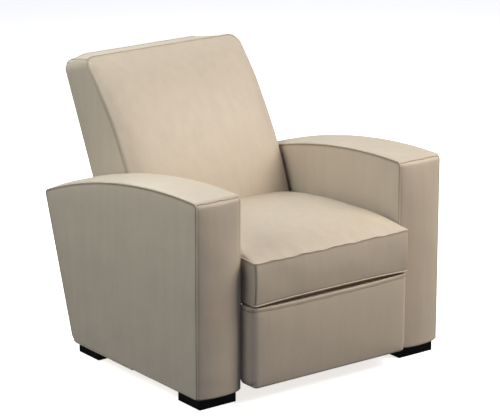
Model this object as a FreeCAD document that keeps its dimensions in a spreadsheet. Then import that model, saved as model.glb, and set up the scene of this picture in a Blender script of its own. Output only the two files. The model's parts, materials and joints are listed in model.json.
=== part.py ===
import FreeCAD, Part
import Sketcher
import math
import os

# Cinema recliner seat: two upholstered arms, a loose seat cushion on a sprung
# frame, a leaning backrest that reclines and a footrest that swings out.
# Millimetres, +Z up, +X to the sitter's left, -Y to the front.
# The origin is on the floor, in the middle of the whole seat's outline.
# Left and right are the sitter's.  Depths are measured backwards from the
# front face of the arms and moved to the origin by each piece's Placement.

SIZES = [
    # Arms
    ("overall_width", 870, "across both arms"),
    ("arm_width", 146, "one arm, side to side"),
    ("arm_height", 604.5, "crest of the arm's arched top above the floor"),
    ("arch_crest", 50, "depth of that crest"),
    ("arch_radius", 1850, "radius of the arched top"),
    ("arm_top_depth", 771, "depth of the arm's rear edge at its top"),
    ("arm_base_depth", 630, "depth of the arm's rear edge at its bottom"),
    ("arm_wall", 12, "leather and foam over the arm's panels"),
    ("arm_shoulder", 15, "rounding of the arm's top front corner"),
    ("arm_heel", 25, "rounding of the arm's lower rear corner"),
    ("panel_board", 9, "plywood panel of the arm"),
    ("arm_post", 40, "depth of the arm's posts and height of its rails"),
    ("arm_sole", 12, "plywood sole of the arm, which the feet screw to"),
    # Clearances
    ("play", 0.3, "gap between pieces that only lie beside each other"),
    ("pin_fit", 0.05, "radial clearance of a pin or tube in its hole"),
    # Feet
    ("foot_height", 32.5, "height of a foot, and of the arm's underside"),
    ("foot_depth", 102, "foot, front to back"),
    ("foot_inset", 11, "from the arm's outer side to the foot"),
    ("foot_inner_inset", 14, "from the arm's inner side to the foot"),
    ("front_foot", 7, "depth of the front foot's front face"),
    ("rear_foot_inset", 10, "from the arm's rear edge at its bottom to the rear foot"),
    ("foot_screw_radius", 3, "shank of a foot's screw"),
    ("foot_screw_head", 6, "radius of that screw's head"),
    ("foot_screw_cap", 4, "height of that screw's head"),
    ("foot_screw_sink", 9, "depth of the counterbore below the head"),
    ("foot_screw_pitch", 50, "between a foot's two screws"),
    # Seat frame
    ("rail_top", 291, "top of the seat frame's rails"),
    ("rail_height", 44, "height of the side rails"),
    ("rail_board", 18, "thickness of the seat frame's rails"),
    ("rail_front", 20, "depth of the side rails' front ends"),
    ("rail_rear", 560, "depth of the rear rail's rear face"),
    ("rear_rail_height", 60, "height of the rear rail"),
    ("corner_block", 40, "side of the glued corner blocks"),
    ("nose_reach", 35, "nose board's edge in front of the arms"),
    ("nose_rear", 80, "depth of the nose board's rear edge"),
    ("nose_board", 8, "thickness of the nose board"),
    ("spring_count", 5, "sinuous springs under the seat"),
    ("spring_margin", 70.7, "from a side plate to the middle of the outermost spring"),
    ("spring_span", 60, "width of a spring's zigzag"),
    ("spring_turn", 15, "radius of a spring's bends"),
    ("spring_wire", 1.9, "radius of the spring wire"),
    ("spring_inset", 10, "from a board's edge to the spring's end"),
    ("clip_length", 26, "spring clip, along the wire"),
    ("clip_depth", 12, "spring clip, across the wire"),
    ("clip_roof", 1.0, "metal above the wire in a spring clip"),
    ("deck_cloth", 1.4, "thickness of the deck cloth"),
    # Seat cushion
    ("cushion_gap", 11, "between the cushion and an arm"),
    ("cushion_overhang", 54, "cushion's front face in front of the arms"),
    ("cushion_side", 119.7, "height of the cushion's boxing at the front"),
    ("cushion_crown", 45, "height of the crown above the top welt"),
    ("cushion_fall", 20, "drop of the top welt towards the back"),
    ("cushion_waist", 5, "how far the cushion's sides are drawn in"),
    # Footrest linkage, stowed
    ("tube_depth", 105, "depth of the drive tube's axis"),
    ("tube_drop", 19, "drive tube's axis below the rails' top"),
    ("tube_radius", 12, "drive tube"),
    ("tube_bore", 10, "inner radius of the drive tube"),
    ("bush_wall", 2, "nylon bush round the drive tube"),
    ("link_stagger", 66.5, "support pivot from the drive tube, along the drive link"),
    ("link_side_gap", 3.7, "between the drive link and the support link when stowed"),
    ("drive_length", 163, "from the drive tube to the crossing pivot"),
    ("drive_tail", 70, "from the crossing pivot to the knee pivot"),
    ("toe_gap", 13.8, "from the footrest board's rear to the upper toe pivot"),
    ("stow_angle", 49, "drive link below the horizontal when stowed"),
    ("link_board", 4, "thickness of links, plates and brackets"),
    ("link_eye", 9, "radius of a link's rounded end"),
    ("link_gap", 1.5, "between neighbouring layers of links"),
    ("pin_radius", 5, "pivot pin"),
    ("pin_head", 8, "radius of a pivot pin's head"),
    ("pin_cap", 1.2, "thickness of a pivot pin's head"),
    ("plate_eye", 18, "side plate round the drive tube"),
    ("plate_web", 40, "height of the side plate at the cross tube"),
    ("cross_offset", 40, "cross tube's axis behind the first arm bolt"),
    ("cross_drop", 36, "cross tube's axis below the rails' top"),
    ("cross_radius", 10, "cross tube"),
    ("cross_bore", 8.5, "inner radius of the cross tube"),
    ("lever_offset", 34, "from the drive tube's axis to the lever's hole"),
    ("lever_angle", 45, "lever below the horizontal when stowed"),
    ("collar_wall", 4, "collar of a link or lever round the drive tube"),
    ("lever_eye", 6, "radius of the lever's rounded end"),
    ("lever_place", 200, "sideways place of the spring levers"),
    ("coil_radius", 6, "footrest spring"),
    ("hook_radius", 1.4, "wire of the footrest spring's hooks"),
    ("hook_length", 24, "straight hook at each end of a footrest spring"),
    # Bolts that hold the mechanism, the rails and the arms together
    ("bolt_radius", 4, "arm bolt"),
    ("bolt_head", 8, "radius of an arm bolt's head"),
    ("bolt_cap", 4, "height of an arm bolt's head"),
    ("bolt_drop", 29, "arm bolts below the rails' top"),
    ("bolt_first", 290, "depth of the first arm bolt"),
    ("bolt_count", 3, "bolts that hold the mechanism and the rails to one arm"),
    ("bolt_clear", 4, "between a bolt's head and the wood beside it"),
    ("nut_radius", 9, "nut inside the arm"),
    ("nut_height", 6, "thickness of that nut"),
    # Footrest
    ("rest_base", 46.8, "footrest's lower edge above the floor"),
    ("rest_clear", 2.3, "between the footrest's top and the nose board"),
    ("rest_gap", 11, "between the footrest and an arm"),
    ("rest_reach", 51.4, "footrest's front face in front of the arms"),
    ("rest_pad", 48, "thickness of the footrest's pad"),
    ("rest_board", 12, "thickness of the footrest's board"),
    ("rest_bow", 6, "how far the pad's front swells"),
    ("rest_corner", 26, "rounding of the pad's upright edges"),
    ("rest_margin", 8, "from the pad's edge to the board's"),
    ("flange_width", 24, "bracket's flange on the board"),
    ("flange_height", 90, "height of that flange"),
    ("rest_screw_radius", 2.5, "screws that hold the brackets"),
    ("rest_screw_head", 4.5, "radius of those screws' heads"),
    ("rest_screw_cap", 2.4, "height of those screws' heads"),
    ("rest_screw_bite", 12, "length of those screws in the board"),
    # Backrest, in a leaning frame with its origin on the hinges' axis
    ("back_lean", 25, "lean of the backrest from upright"),
    ("hinge_depth", 600, "depth of the back hinges"),
    ("hinge_drop", 29, "back hinges below the rails' top"),
    ("hinge_eye", 14, "radius of the hinges' eyes"),
    ("hinge_gap", 2, "between the hinges' eyes and the backrest's cover"),
    ("back_front", 139, "from the hinges forwards to the front welt's crest"),
    ("back_crest", 209, "height of that crest along the backrest"),
    ("back_sweep", 1200, "radius of the front welt's arc"),
    ("back_rear", 45.5, "from the hinges back to the rear face"),
    ("back_top", 610, "height of the front welt's top"),
    ("back_peak", 641, "height of the rear edge's top"),
    ("back_wall", 11, "leather, foam and board of the backrest's cover"),
    ("back_corner", 45, "rounding of the cover's top corners"),
    ("back_lip", 12, "depth of the pad's rim over the cover's edge"),
    ("back_crown", 38, "how far the pad's middle swells"),
    ("pad_corner", 38, "rounding of the pad's top corners"),
    ("pad_core", 15, "foam behind the pad's rim at the top"),
    ("post_board", 22, "thickness of the back's posts"),
    ("post_end", 62, "from the rear edge's top down to the posts' ends"),
    ("back_rail_height", 50, "height of the back's cross rails"),
    ("back_rail_depth", 45, "depth of the back's cross rails"),
    ("strap_width", 50, "width of the webbing straps"),
    ("strap_board", 1.5, "thickness of the webbing straps"),
    ("strap_count", 6, "webbing straps"),
    ("back_board", 3, "hardboard behind the back's frame"),
    ("bracket_bolt_pitch", 55, "between a back bracket's bolts"),
    ("bracket_end", 15, "from the last of those bolts to the eye's centre at the end"),
    # Rear panel between the arms
    ("rear_panel_inset", 14, "rear panel in front of the arms' rear edge"),
    ("rear_panel_board", 9, "plywood of the rear panel"),
    ("rear_panel_cover", 8, "leather and foam behind that plywood"),
    ("rear_panel_base", 46, "rear panel's lower edge above the floor"),
    ("rear_panel_top", 238, "rear panel's upper edge above the floor"),
]

# Places that follow from the sizes, as expressions for the sheet.
ARM_INNER = "(Sizes.overall_width / 2 - Sizes.arm_width)"
RAIL_OUT = f"({ARM_INNER} - Sizes.play)"
RAIL_IN = f"({RAIL_OUT} - Sizes.rail_board)"
PLATE_IN = f"({RAIL_IN} - Sizes.link_board)"
OUTER_LINK = f"({PLATE_IN} - Sizes.link_gap - Sizes.link_board)"
INNER_LINK = f"({OUTER_LINK} - Sizes.link_gap - Sizes.link_board)"
BRACKET_IN = f"({INNER_LINK} - Sizes.link_gap - Sizes.link_board)"
BACK_BRACKET = f"({PLATE_IN} - Sizes.play - Sizes.link_board)"
POST_IN = f"({BACK_BRACKET} - Sizes.post_board)"
REAR_REACH = ("(Sizes.hinge_depth + Sizes.back_rear * cos(Sizes.back_lean)"
              " + Sizes.back_peak * sin(Sizes.back_lean))")
MID_DEPTH = f"(({REAR_REACH} - Sizes.cushion_overhang) / 2)"
DECK_BASE = "(Sizes.rail_top + 2 * Sizes.spring_wire + Sizes.pin_fit * 2 + Sizes.clip_roof + Sizes.play)"
CUSHION_BASE = f"({DECK_BASE} + Sizes.deck_cloth + Sizes.play)"
BACK_HALF = f"({PLATE_IN} + Sizes.play + Sizes.back_wall)"
BACK_BOTTOM = "(Sizes.hinge_eye + Sizes.hinge_gap)"
HINGE = ("Sizes.hinge_depth", "(Sizes.rail_top - Sizes.hinge_drop)")
CUSHION_HALF = f"({ARM_INNER} - Sizes.cushion_gap)"
BOLT_LAST = ("(Sizes.rail_rear - Sizes.rail_board - Sizes.corner_block - Sizes.bolt_head"
             " - Sizes.bolt_clear)")
BOLT_PITCH = f"(({BOLT_LAST} - Sizes.bolt_first) / (Sizes.bolt_count - 1))"
CROSS = ("(Sizes.bolt_first + Sizes.cross_offset)", "(Sizes.rail_top - Sizes.cross_drop)")
REST_TOP = "(Sizes.rail_top - Sizes.nose_board - Sizes.rest_clear)"
REST_HALF = f"({ARM_INNER} - Sizes.rest_gap)"
REST_FACE = "(-Sizes.rest_reach + Sizes.rest_pad)"
REST_REAR = f"({REST_FACE} + Sizes.rest_board)"

# Pivots of the footrest's linkage when stowed, as (depth, height).
LINK_SPACING = "(2 * Sizes.link_eye + Sizes.link_side_gap)"
SUPPORT_BACK = (f"(Sizes.link_stagger * cos(Sizes.stow_angle)"
                f" + {LINK_SPACING} * sin(Sizes.stow_angle))")
SUPPORT_DROP = (f"(Sizes.link_stagger * sin(Sizes.stow_angle)"
                f" - {LINK_SPACING} * cos(Sizes.stow_angle))")
PIVOT_SPAN = f"sqrt({SUPPORT_BACK} ^ 2 + {SUPPORT_DROP} ^ 2)"
DRIVE_BACK = "(Sizes.drive_length * cos(Sizes.stow_angle))"
DRIVE_DROP = "(Sizes.drive_length * sin(Sizes.stow_angle))"
TAIL_BACK = "(Sizes.drive_tail * cos(Sizes.stow_angle))"
TAIL_DROP = "(Sizes.drive_tail * sin(Sizes.stow_angle))"
TUBE = ("Sizes.tube_depth", "(Sizes.rail_top - Sizes.tube_drop)")
SUPPORT = (f"({TUBE[0]} + {SUPPORT_BACK})", f"({TUBE[1]} - {SUPPORT_DROP})")
CROSSING = (f"({TUBE[0]} + {DRIVE_BACK})", f"({TUBE[1]} - {DRIVE_DROP})")
REACH_BACK = f"({CROSSING[0]} - {REST_REAR} - Sizes.toe_gap)"
REACH_RISE = f"({REACH_BACK} * {SUPPORT_DROP} / {SUPPORT_BACK})"
REACH_LENGTH = f"({REACH_BACK} * {PIVOT_SPAN} / {SUPPORT_BACK})"
KNEE = (f"({CROSSING[0]} + {TAIL_BACK})", f"({CROSSING[1]} - {TAIL_DROP})")
ELBOW = (f"({SUPPORT[0]} + {DRIVE_BACK})", f"({SUPPORT[1]} - {DRIVE_DROP})")
UPPER_TOE = (f"({CROSSING[0]} - {REACH_BACK})", f"({CROSSING[1]} + {REACH_RISE})")
LOWER_TOE = (f"({KNEE[0]} - {REACH_BACK})", f"({KNEE[1]} + {REACH_RISE})")
REACH_ANGLE = f"(180 deg - atan({SUPPORT_DROP} / {SUPPORT_BACK}))"

doc = FreeCAD.newDocument("cinema_recliner")
sheet = doc.addObject("Spreadsheet::Sheet", "Sizes")
pieces = {}


def fill_sheet():
    """Writes each size's name, value and meaning into the sheet."""
    for row, (alias, value, meaning) in enumerate(SIZES, start=1):
        sheet.set(f"A{row}", alias)
        sheet.set(f"B{row}", str(value))
        sheet.set(f"C{row}", meaning)
        sheet.setAlias(f"B{row}", alias)
    doc.recompute()


def number(expression):
    """The value of an expression of the sheet's sizes."""
    result = sheet.evalExpression(str(expression))
    return float(getattr(result, "Value", result))


def keep(obj, name):
    """Names an object as a piece of the seat, to be written to its own file."""
    obj.Label = name
    pieces[name] = obj
    return obj


def bind(obj, **expressions):
    """Binds properties of an object; a double underscore stands for a dot."""
    for prop, expression in expressions.items():
        obj.setExpression(prop.replace("__", "."), expression)


def place(obj, across="0", depth="0", height="0", turn=None):
    """Puts an object at a place measured from the arms' front, perhaps turned about X."""
    bind(obj, Placement__Base__x=across, Placement__Base__y=f"{depth} - {MID_DEPTH}",
         Placement__Base__z=height)
    if turn is not None:
        obj.Placement.Rotation = FreeCAD.Rotation(FreeCAD.Vector(1, 0, 0), number(turn))
    return obj


def place_leaning(obj, across="0", depth="0", height="0"):
    """Puts an object at a place in the backrest's leaning frame."""
    back = f"({depth}) * cos(Sizes.back_lean) + ({height}) * sin(Sizes.back_lean)"
    rise = f"({height}) * cos(Sizes.back_lean) - ({depth}) * sin(Sizes.back_lean)"
    return place(obj, across, f"({HINGE[0]} + {back})", f"({HINGE[1]} + {rise})", "-Sizes.back_lean")


def board(name, across, depth, height, leaning=False):
    """A box from pairs of expressions: its low and high side in each direction."""
    obj = doc.addObject("Part::Box", name)
    bind(obj, Length=f"({across[1]}) - ({across[0]})", Width=f"({depth[1]}) - ({depth[0]})",
         Height=f"({height[1]}) - ({height[0]})")
    put = place_leaning if leaning else place
    return put(obj, f"({across[0]})", f"({depth[0]})", f"({height[0]})")


def rod(name, radius, across, centre, leaning=False):
    """A round bar along X between two places, about a (depth, height) centre."""
    obj = doc.addObject("Part::Cylinder", name)
    bind(obj, Radius=radius, Height=f"({across[1]}) - ({across[0]})")
    put = place_leaning if leaning else place
    put(obj, f"({across[0]})", centre[0], centre[1])
    upright = FreeCAD.Rotation(FreeCAD.Vector(0, 1, 0), 90)
    obj.Placement.Rotation = obj.Placement.Rotation.multiply(upright)
    return obj


def upright_rod(name, radius, across, depth, height):
    """A round bar along Z, from one height to another."""
    obj = doc.addObject("Part::Cylinder", name)
    bind(obj, Radius=radius, Height=f"({height[1]}) - ({height[0]})")
    return place(obj, across, depth, height[0])


def compound(name, members):
    """Several separate solids as one object."""
    obj = doc.addObject("Part::Compound", name)
    obj.Links = members
    return obj


def cut(name, base, tool):
    """One object less another."""
    obj = doc.addObject("Part::Cut", name)
    obj.Base = base
    obj.Tool = tool
    return obj


def fuse(name, members):
    """Several objects joined into one solid."""
    obj = doc.addObject("Part::MultiFuse", name)
    obj.Shapes = members
    return obj


def mirrored(name, source):
    """The same object on the sitter's right."""
    obj = doc.addObject("Part::Mirroring", name)
    obj.Source = source
    obj.Normal = FreeCAD.Vector(1, 0, 0)
    return obj


def both_sides(name, left):
    """A pair of left and right solids as one object."""
    return compound(name, [left, mirrored(name + "_right", left)])


def keep_sides(name, left):
    """Keeps an object and its mirror image as two pieces."""
    keep(left, "left_" + name)
    keep(mirrored("right_" + name, left), "right_" + name)


def new_sketch(body, plane, offset=None):
    """A sketch on one of a body's own origin planes, perhaps set off from it."""
    sketch = body.newObject("Sketcher::SketchObject", body.Name + "_sketch")
    for feature in body.Origin.OriginFeatures:
        if feature.Role == plane:
            sketch.AttachmentSupport = [(feature, "")]
    sketch.MapMode = "FlatFace"
    if offset is not None:
        sketch.setExpression(".AttachmentOffset.Base.z", offset)
    return sketch


def fix_point(sketch, geometry, end, place_):
    """Ties a point of a sketch to two expressions, measured from its origin."""
    for kind, expression in zip(("DistanceX", "DistanceY"), place_):
        index = sketch.addConstraint(
            Sketcher.Constraint(kind, -1, 1, geometry, end, number(expression)))
        sketch.setExpression(f"Constraints[{index}]", str(expression))


def draw_outline(sketch, corners, arcs=None):
    """Draws a closed outline through corners given as pairs of expressions.

    An arc runs from the numbered corner to the next: its expression is the
    radius, positive where the arc bulges to the right of the way it is drawn.
    """
    arcs = arcs or {}
    points = [FreeCAD.Vector(number(u), number(v), 0) for u, v in corners]
    ends = []
    for i, start in enumerate(points):
        finish = points[(i + 1) % len(points)]
        if i not in arcs:
            index = sketch.addGeometry(Part.LineSegment(start, finish), False)
            ends.append((index, 1, 2))
            continue
        radius = number(arcs[i])
        chord = finish - start
        side = FreeCAD.Vector(chord.y, -chord.x, 0).normalize() * math.copysign(1, radius)
        centre = (start + finish) / 2 - side * math.sqrt(radius ** 2 - (chord.Length / 2) ** 2)
        forwards = radius > 0
        first, last = (start, finish) if forwards else (finish, start)
        low = math.atan2(first.y - centre.y, first.x - centre.x)
        high = math.atan2(last.y - centre.y, last.x - centre.x)
        if high < low:
            high += 2 * math.pi
        circle = Part.Circle(centre, FreeCAD.Vector(0, 0, 1), abs(radius))
        index = sketch.addGeometry(Part.ArcOfCircle(circle, low, high), False)
        ends.append((index, 1, 2) if forwards else (index, 2, 1))
    for i, (index, first, last) in enumerate(ends):
        following = ends[(i + 1) % len(ends)]
        sketch.addConstraint(Sketcher.Constraint("Coincident", index, last, following[0], following[1]))
        fix_point(sketch, index, first, corners[i])
        if i in arcs:
            constraint = sketch.addConstraint(
                Sketcher.Constraint("Radius", index, abs(number(arcs[i]))))
            sketch.setExpression(f"Constraints[{constraint}]", f"abs({arcs[i]})")


def draw_holes(sketch, holes):
    """Draws circles from pairs of a centre and a radius expression."""
    for centre, radius in holes:
        middle = FreeCAD.Vector(number(centre[0]), number(centre[1]), 0)
        circle = Part.Circle(middle, FreeCAD.Vector(0, 0, 1), number(radius))
        index = sketch.addGeometry(circle, False)
        fix_point(sketch, index, 3, centre)
        constraint = sketch.addConstraint(Sketcher.Constraint("Radius", index, number(radius)))
        sketch.setExpression(f"Constraints[{constraint}]", str(radius))


def pad(body, sketch, length, midplane=False):
    """Pads a sketch of a body along the sketch's normal."""
    feature = body.newObject("PartDesign::Pad", body.Name + "_pad")
    feature.Profile = sketch
    feature.setExpression("Length", length)
    feature.Midplane = midplane
    return feature


def pocket(body, sketch, length, midplane=False):
    """Cuts a sketch out of a body along the sketch's normal."""
    before = body.Tip.Shape.Volume
    feature = body.newObject("PartDesign::Pocket", body.Name + "_pocket")
    feature.Profile = sketch
    feature.setExpression("Length", length)
    feature.Midplane = midplane
    feature.Reversed = True
    doc.recompute()
    if feature.Shape.Volume > before - 1:
        raise RuntimeError(f"{feature.Name} cuts nothing")
    return feature


def round_edges(body, feature, radius, chosen):
    """Rounds the edges of a feature that a test picks out."""
    doc.recompute()
    names = [f"Edge{i}" for i, edge in enumerate(feature.Shape.Edges, start=1) if chosen(edge)]
    fillet = body.newObject("PartDesign::Fillet", body.Name + "_fillet")
    fillet.Base = (feature, names)
    fillet.setExpression("Radius", radius)
    body.Tip = fillet
    return fillet


def runs_along_x(edge, depth, height):
    """True where an edge is a line along X through a (depth, height) point."""
    start, finish = edge.Vertexes[0].Point, edge.Vertexes[-1].Point
    there = math.hypot(start.y - number(depth), start.z - number(height)) < 0.01
    return there and math.hypot(start.y - finish.y, start.z - finish.z) < 0.01


def flat_plate(name, across, corners, holes=(), arcs=None, thickness="Sizes.link_board"):
    """A plate upright across X, drawn in depth and height from the arms' front."""
    body = doc.addObject("PartDesign::Body", name)
    sketch = new_sketch(body, "YZ_Plane")
    draw_outline(sketch, corners, arcs)
    draw_holes(sketch, holes)
    pad(body, sketch, thickness)
    return place(body, across)


# An arc of a half turn needs a radius a little over half its chord.
HALF_TURN = 1.0001


def link(name, across, start, turn, length, holes, eye="Sizes.link_eye", leaning=False):
    """A flat bar with round ends, from a pivot and turned from the rearward way.

    Holes are pairs of a distance along the link and a radius expression.
    """
    body = doc.addObject("PartDesign::Body", name)
    sketch = new_sketch(body, "YZ_Plane")
    draw_outline(sketch, [(length, f"-{eye}"), (length, eye), ("0", eye), ("0", f"-{eye}")],
                 {0: f"{eye} * {HALF_TURN}", 2: f"{eye} * {HALF_TURN}"})
    draw_holes(sketch, [((along, "0"), radius) for along, radius in holes])
    pad(body, sketch, "Sizes.link_board")
    if leaning:
        place_leaning(body, across, start[0], start[1])
        body.Placement.Rotation = FreeCAD.Rotation(
            FreeCAD.Vector(1, 0, 0), number(turn) - number("Sizes.back_lean"))
        return body
    return place(body, across, start[0], start[1], turn)


def pin(name, centre, inner, outer, leaning=False):
    """A riveted pin through layers between two places, with a flat head at each end."""
    shank = rod(name + "_shank", "Sizes.pin_radius", (inner, outer), centre, leaning)
    heads = [rod(name + "_inner_head", "Sizes.pin_head",
                 (f"{inner} - Sizes.pin_cap", inner), centre, leaning),
             rod(name + "_outer_head", "Sizes.pin_head",
                 (outer, f"{outer} + Sizes.pin_cap"), centre, leaning)]
    return fuse(name, [shank] + heads)


def solid_piece(name, shape, leaning=False):
    """A free-form solid, drawn from the arms' front and then moved to its place."""
    obj = doc.addObject("Part::Feature", name)
    obj.Shape = shape
    put = place_leaning if leaning else place
    return put(obj)


def loft(sections):
    """A solid through closed wires."""
    return Part.makeLoft(sections, True, False)


def closed_wire(points, arcs):
    """A wire through points, with arcs as {number of its first point: middle point}."""
    edges = []
    for i, start in enumerate(points):
        finish = points[(i + 1) % len(points)]
        if i in arcs:
            edges.append(Part.Arc(start, arcs[i], finish).toShape())
        else:
            edges.append(Part.LineSegment(start, finish).toShape())
    return Part.Wire(edges)


# Arms

ARCH_BASE = "(Sizes.arm_height - Sizes.arch_radius)"


def arch_height(depth, inset="0"):
    """Height of the arched top at a depth, drawn in by an inset."""
    radius = f"(Sizes.arch_radius - {inset})"
    return f"({ARCH_BASE} + sqrt({radius} ^ 2 - ({depth} - Sizes.arch_crest) ^ 2))"


def arm_outline(inset, bottom):
    """Corners of the arm's side, drawn in by an inset, down to a given height."""
    top_depth = f"(Sizes.arm_top_depth - {inset})"
    rear_top = arch_height("Sizes.arm_top_depth")
    slope = f"((Sizes.arm_top_depth - Sizes.arm_base_depth) / ({rear_top} - Sizes.foot_height))"
    rear_depth = f"(Sizes.arm_base_depth - {inset} + ({bottom} - Sizes.foot_height) * {slope})"
    return [(inset, bottom), (inset, arch_height(inset, inset)),
            (top_depth, arch_height(top_depth, inset)), (rear_depth, bottom)]


def arm_cover():
    """The arm's leather and foam, a shell that is open below."""
    body = doc.addObject("PartDesign::Body", "arm_cover")
    sketch = new_sketch(body, "YZ_Plane")
    corners = arm_outline("0", "Sizes.foot_height")
    draw_outline(sketch, corners, {1: "-Sizes.arch_radius"})
    block = pad(body, sketch, "Sizes.arm_width")
    shoulder = round_edges(body, block, "Sizes.arm_shoulder",
                           lambda edge: runs_along_x(edge, *corners[1]))
    round_edges(body, shoulder, "Sizes.arm_heel", lambda edge: runs_along_x(edge, *corners[3]))
    inner = new_sketch(body, "YZ_Plane", "Sizes.arm_wall")
    draw_outline(inner, arm_outline("Sizes.arm_wall", "0"),
                 {1: "-(Sizes.arch_radius - Sizes.arm_wall)"})
    doc.recompute()
    pocket(body, inner, "Sizes.arm_width - 2 * Sizes.arm_wall")
    return place(body, ARM_INNER)


def arm_bolt_centres():
    """Depth and height of each arm bolt of one side."""
    count = int(number("Sizes.bolt_count"))
    return [(f"(Sizes.bolt_first + {i} * {BOLT_PITCH})", "(Sizes.rail_top - Sizes.bolt_drop)")
            for i in range(count)]


def arm_bolt_holes(across, name):
    """The holes that the arm bolts pass through, between two places."""
    radius = "Sizes.bolt_radius + Sizes.pin_fit"
    bars = [rod(f"{name}_{i}", radius, across, centre)
            for i, centre in enumerate(arm_bolt_centres())]
    return compound(name, bars)


def make_arms():
    """Each arm's cover, panels, posts, rails and sole."""
    inset = "(Sizes.arm_wall + Sizes.play)"
    low = "(Sizes.foot_height + Sizes.arm_sole)"
    inner = f"({ARM_INNER} + {inset})"
    outer = f"({ARM_INNER} + Sizes.arm_width - {inset})"
    holes = arm_bolt_holes((RAIL_IN, f"{inner} + Sizes.panel_board + 1"), "arm_holes")
    keep_sides("arm_cover", cut("bored_arm_cover", arm_cover(), holes))
    arch = {1: f"-(Sizes.arch_radius - {inset})"}
    inner_panel = flat_plate("inner_panel", inner, arm_outline(inset, low), arcs=arch,
                             thickness="Sizes.panel_board")
    outer_panel = flat_plate("outer_panel", f"{outer} - Sizes.panel_board",
                             arm_outline(inset, low), arcs=arch, thickness="Sizes.panel_board")
    keep_sides("arm_panels", compound("panels", [cut("bored_panel", inner_panel, holes), outer_panel]))
    gap = (f"({inner} + Sizes.panel_board)", f"({outer} - Sizes.panel_board)")
    rear = "(Sizes.arm_base_depth - Sizes.arm_wall - Sizes.arm_post)"
    post_top = "(Sizes.arm_height - Sizes.arm_wall - Sizes.arm_post)"
    rear_top = f"({arch_height(f'({rear} + Sizes.arm_post)', 'Sizes.arm_wall')} - Sizes.play)"
    front = f"({inset} + Sizes.arm_post)"
    posts = [board("front_post", gap, (inset, front), (low, post_top)),
             board("rear_post", gap, (rear, f"{rear} + Sizes.arm_post"), (low, rear_top)),
             board("lower_rail", gap, (front, rear), (low, f"{low} + Sizes.arm_post"))]
    crest = f"({post_top} + Sizes.arm_post - 3 * Sizes.play)"
    upper = flat_plate("upper_rail", gap[0],
                       [(front, f"{crest} - Sizes.arm_post"),
                        (front, arch_height(front, inset)),
                        (rear, arch_height(rear, inset)),
                        (rear, f"{arch_height(rear, inset)} - Sizes.arm_post")],
                       arcs=arch, thickness=f"{gap[1]} - {gap[0]}")
    keep_sides("arm_posts", compound("posts", posts + [upper]))
    sole_rear = f"(Sizes.arm_base_depth - {inset})"
    sole = board("sole", (inner, outer), (inset, sole_rear), ("Sizes.foot_height", low))
    keep_sides("arm_sole", cut("bored_sole", sole, foot_screw_holes(low)))


# Feet and their screws

def foot_places():
    """Depths of the two feet's front faces."""
    return ("Sizes.front_foot",
            "(Sizes.arm_base_depth - Sizes.rear_foot_inset - Sizes.foot_depth)")


FOOT_OUT = "(Sizes.overall_width / 2 - Sizes.foot_inset)"
FOOT_IN = f"({ARM_INNER} + Sizes.foot_inner_inset)"
FOOT_MIDDLE = f"(({FOOT_OUT} + {FOOT_IN}) / 2)"


def screw_places():
    """Depths of the four screws of one arm's feet."""
    return [f"({front} + Sizes.foot_depth / 2 + {side} * Sizes.foot_screw_pitch / 2)"
            for front in foot_places() for side in (-1, 1)]


def foot_screw_holes(top):
    """The holes that the foot screws pass through, with their counterbores."""
    bars = []
    for i, depth in enumerate(screw_places()):
        bars.append(upright_rod(f"foot_hole_{i}", "Sizes.foot_screw_radius + Sizes.pin_fit",
                                FOOT_MIDDLE, depth, ("0", top)))
        bars.append(upright_rod(f"foot_counterbore_{i}", "Sizes.foot_screw_head + 1",
                                FOOT_MIDDLE, depth, ("0", "Sizes.foot_screw_sink")))
    return compound("foot_holes", bars)


def make_feet():
    """Four dark blocks under the arms, each held by two screws from below."""
    blocks = [board(f"foot_{i}", (FOOT_IN, FOOT_OUT),
                    (front, f"{front} + Sizes.foot_depth"), ("0", "Sizes.foot_height"))
              for i, front in enumerate(foot_places())]
    bored = cut("bored_feet", compound("foot_blocks", blocks), foot_screw_holes("Sizes.foot_height"))
    keep(both_sides("foot_pair", bored), "feet")
    screws = []
    top = "(Sizes.foot_height + Sizes.arm_sole - Sizes.play)"
    seat = "Sizes.foot_screw_sink"
    for i, depth in enumerate(screw_places()):
        shank = upright_rod(f"foot_shank_{i}", "Sizes.foot_screw_radius", FOOT_MIDDLE, depth,
                            (seat, top))
        head = upright_rod(f"foot_head_{i}", "Sizes.foot_screw_head", FOOT_MIDDLE, depth,
                           (f"({seat} - Sizes.foot_screw_cap)", seat))
        screws.append(fuse(f"foot_screw_{i}", [shank, head]))
    keep(both_sides("foot_screw_pair", compound("left_foot_screws", screws)), "foot_screws")


# Seat frame

def make_seat_frame():
    """Wooden rails, nose board and corner blocks between the arms."""
    side_height = ("Sizes.rail_top - Sizes.rail_height", "Sizes.rail_top")
    side = board("side_rail", (RAIL_IN, RAIL_OUT), ("Sizes.rail_front", "Sizes.rail_rear"),
                 side_height)
    holes = arm_bolt_holes((PLATE_IN, ARM_INNER), "rail_holes")
    keep_sides("seat_rail", cut("bored_side_rail", side, holes))
    keep(board("nose", (f"-{RAIL_IN}", RAIL_IN), ("-Sizes.nose_reach", "Sizes.nose_rear"),
               ("Sizes.rail_top - Sizes.nose_board", "Sizes.rail_top")), "seat_nose_board")
    rear_front = "(Sizes.rail_rear - Sizes.rail_board)"
    keep(board("rear", (f"-{PLATE_IN}", PLATE_IN), (rear_front, "Sizes.rail_rear"),
               ("Sizes.rail_top - Sizes.rear_rail_height", "Sizes.rail_top")), "seat_rear_rail")
    block = board("corner", (f"{PLATE_IN} - Sizes.corner_block", PLATE_IN),
                  (f"{rear_front} - Sizes.corner_block", rear_front),
                  ("Sizes.rail_top - Sizes.rear_rail_height", "Sizes.rail_top - Sizes.rail_board"))
    keep(both_sides("corner_pair", block), "seat_corner_blocks")


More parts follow.
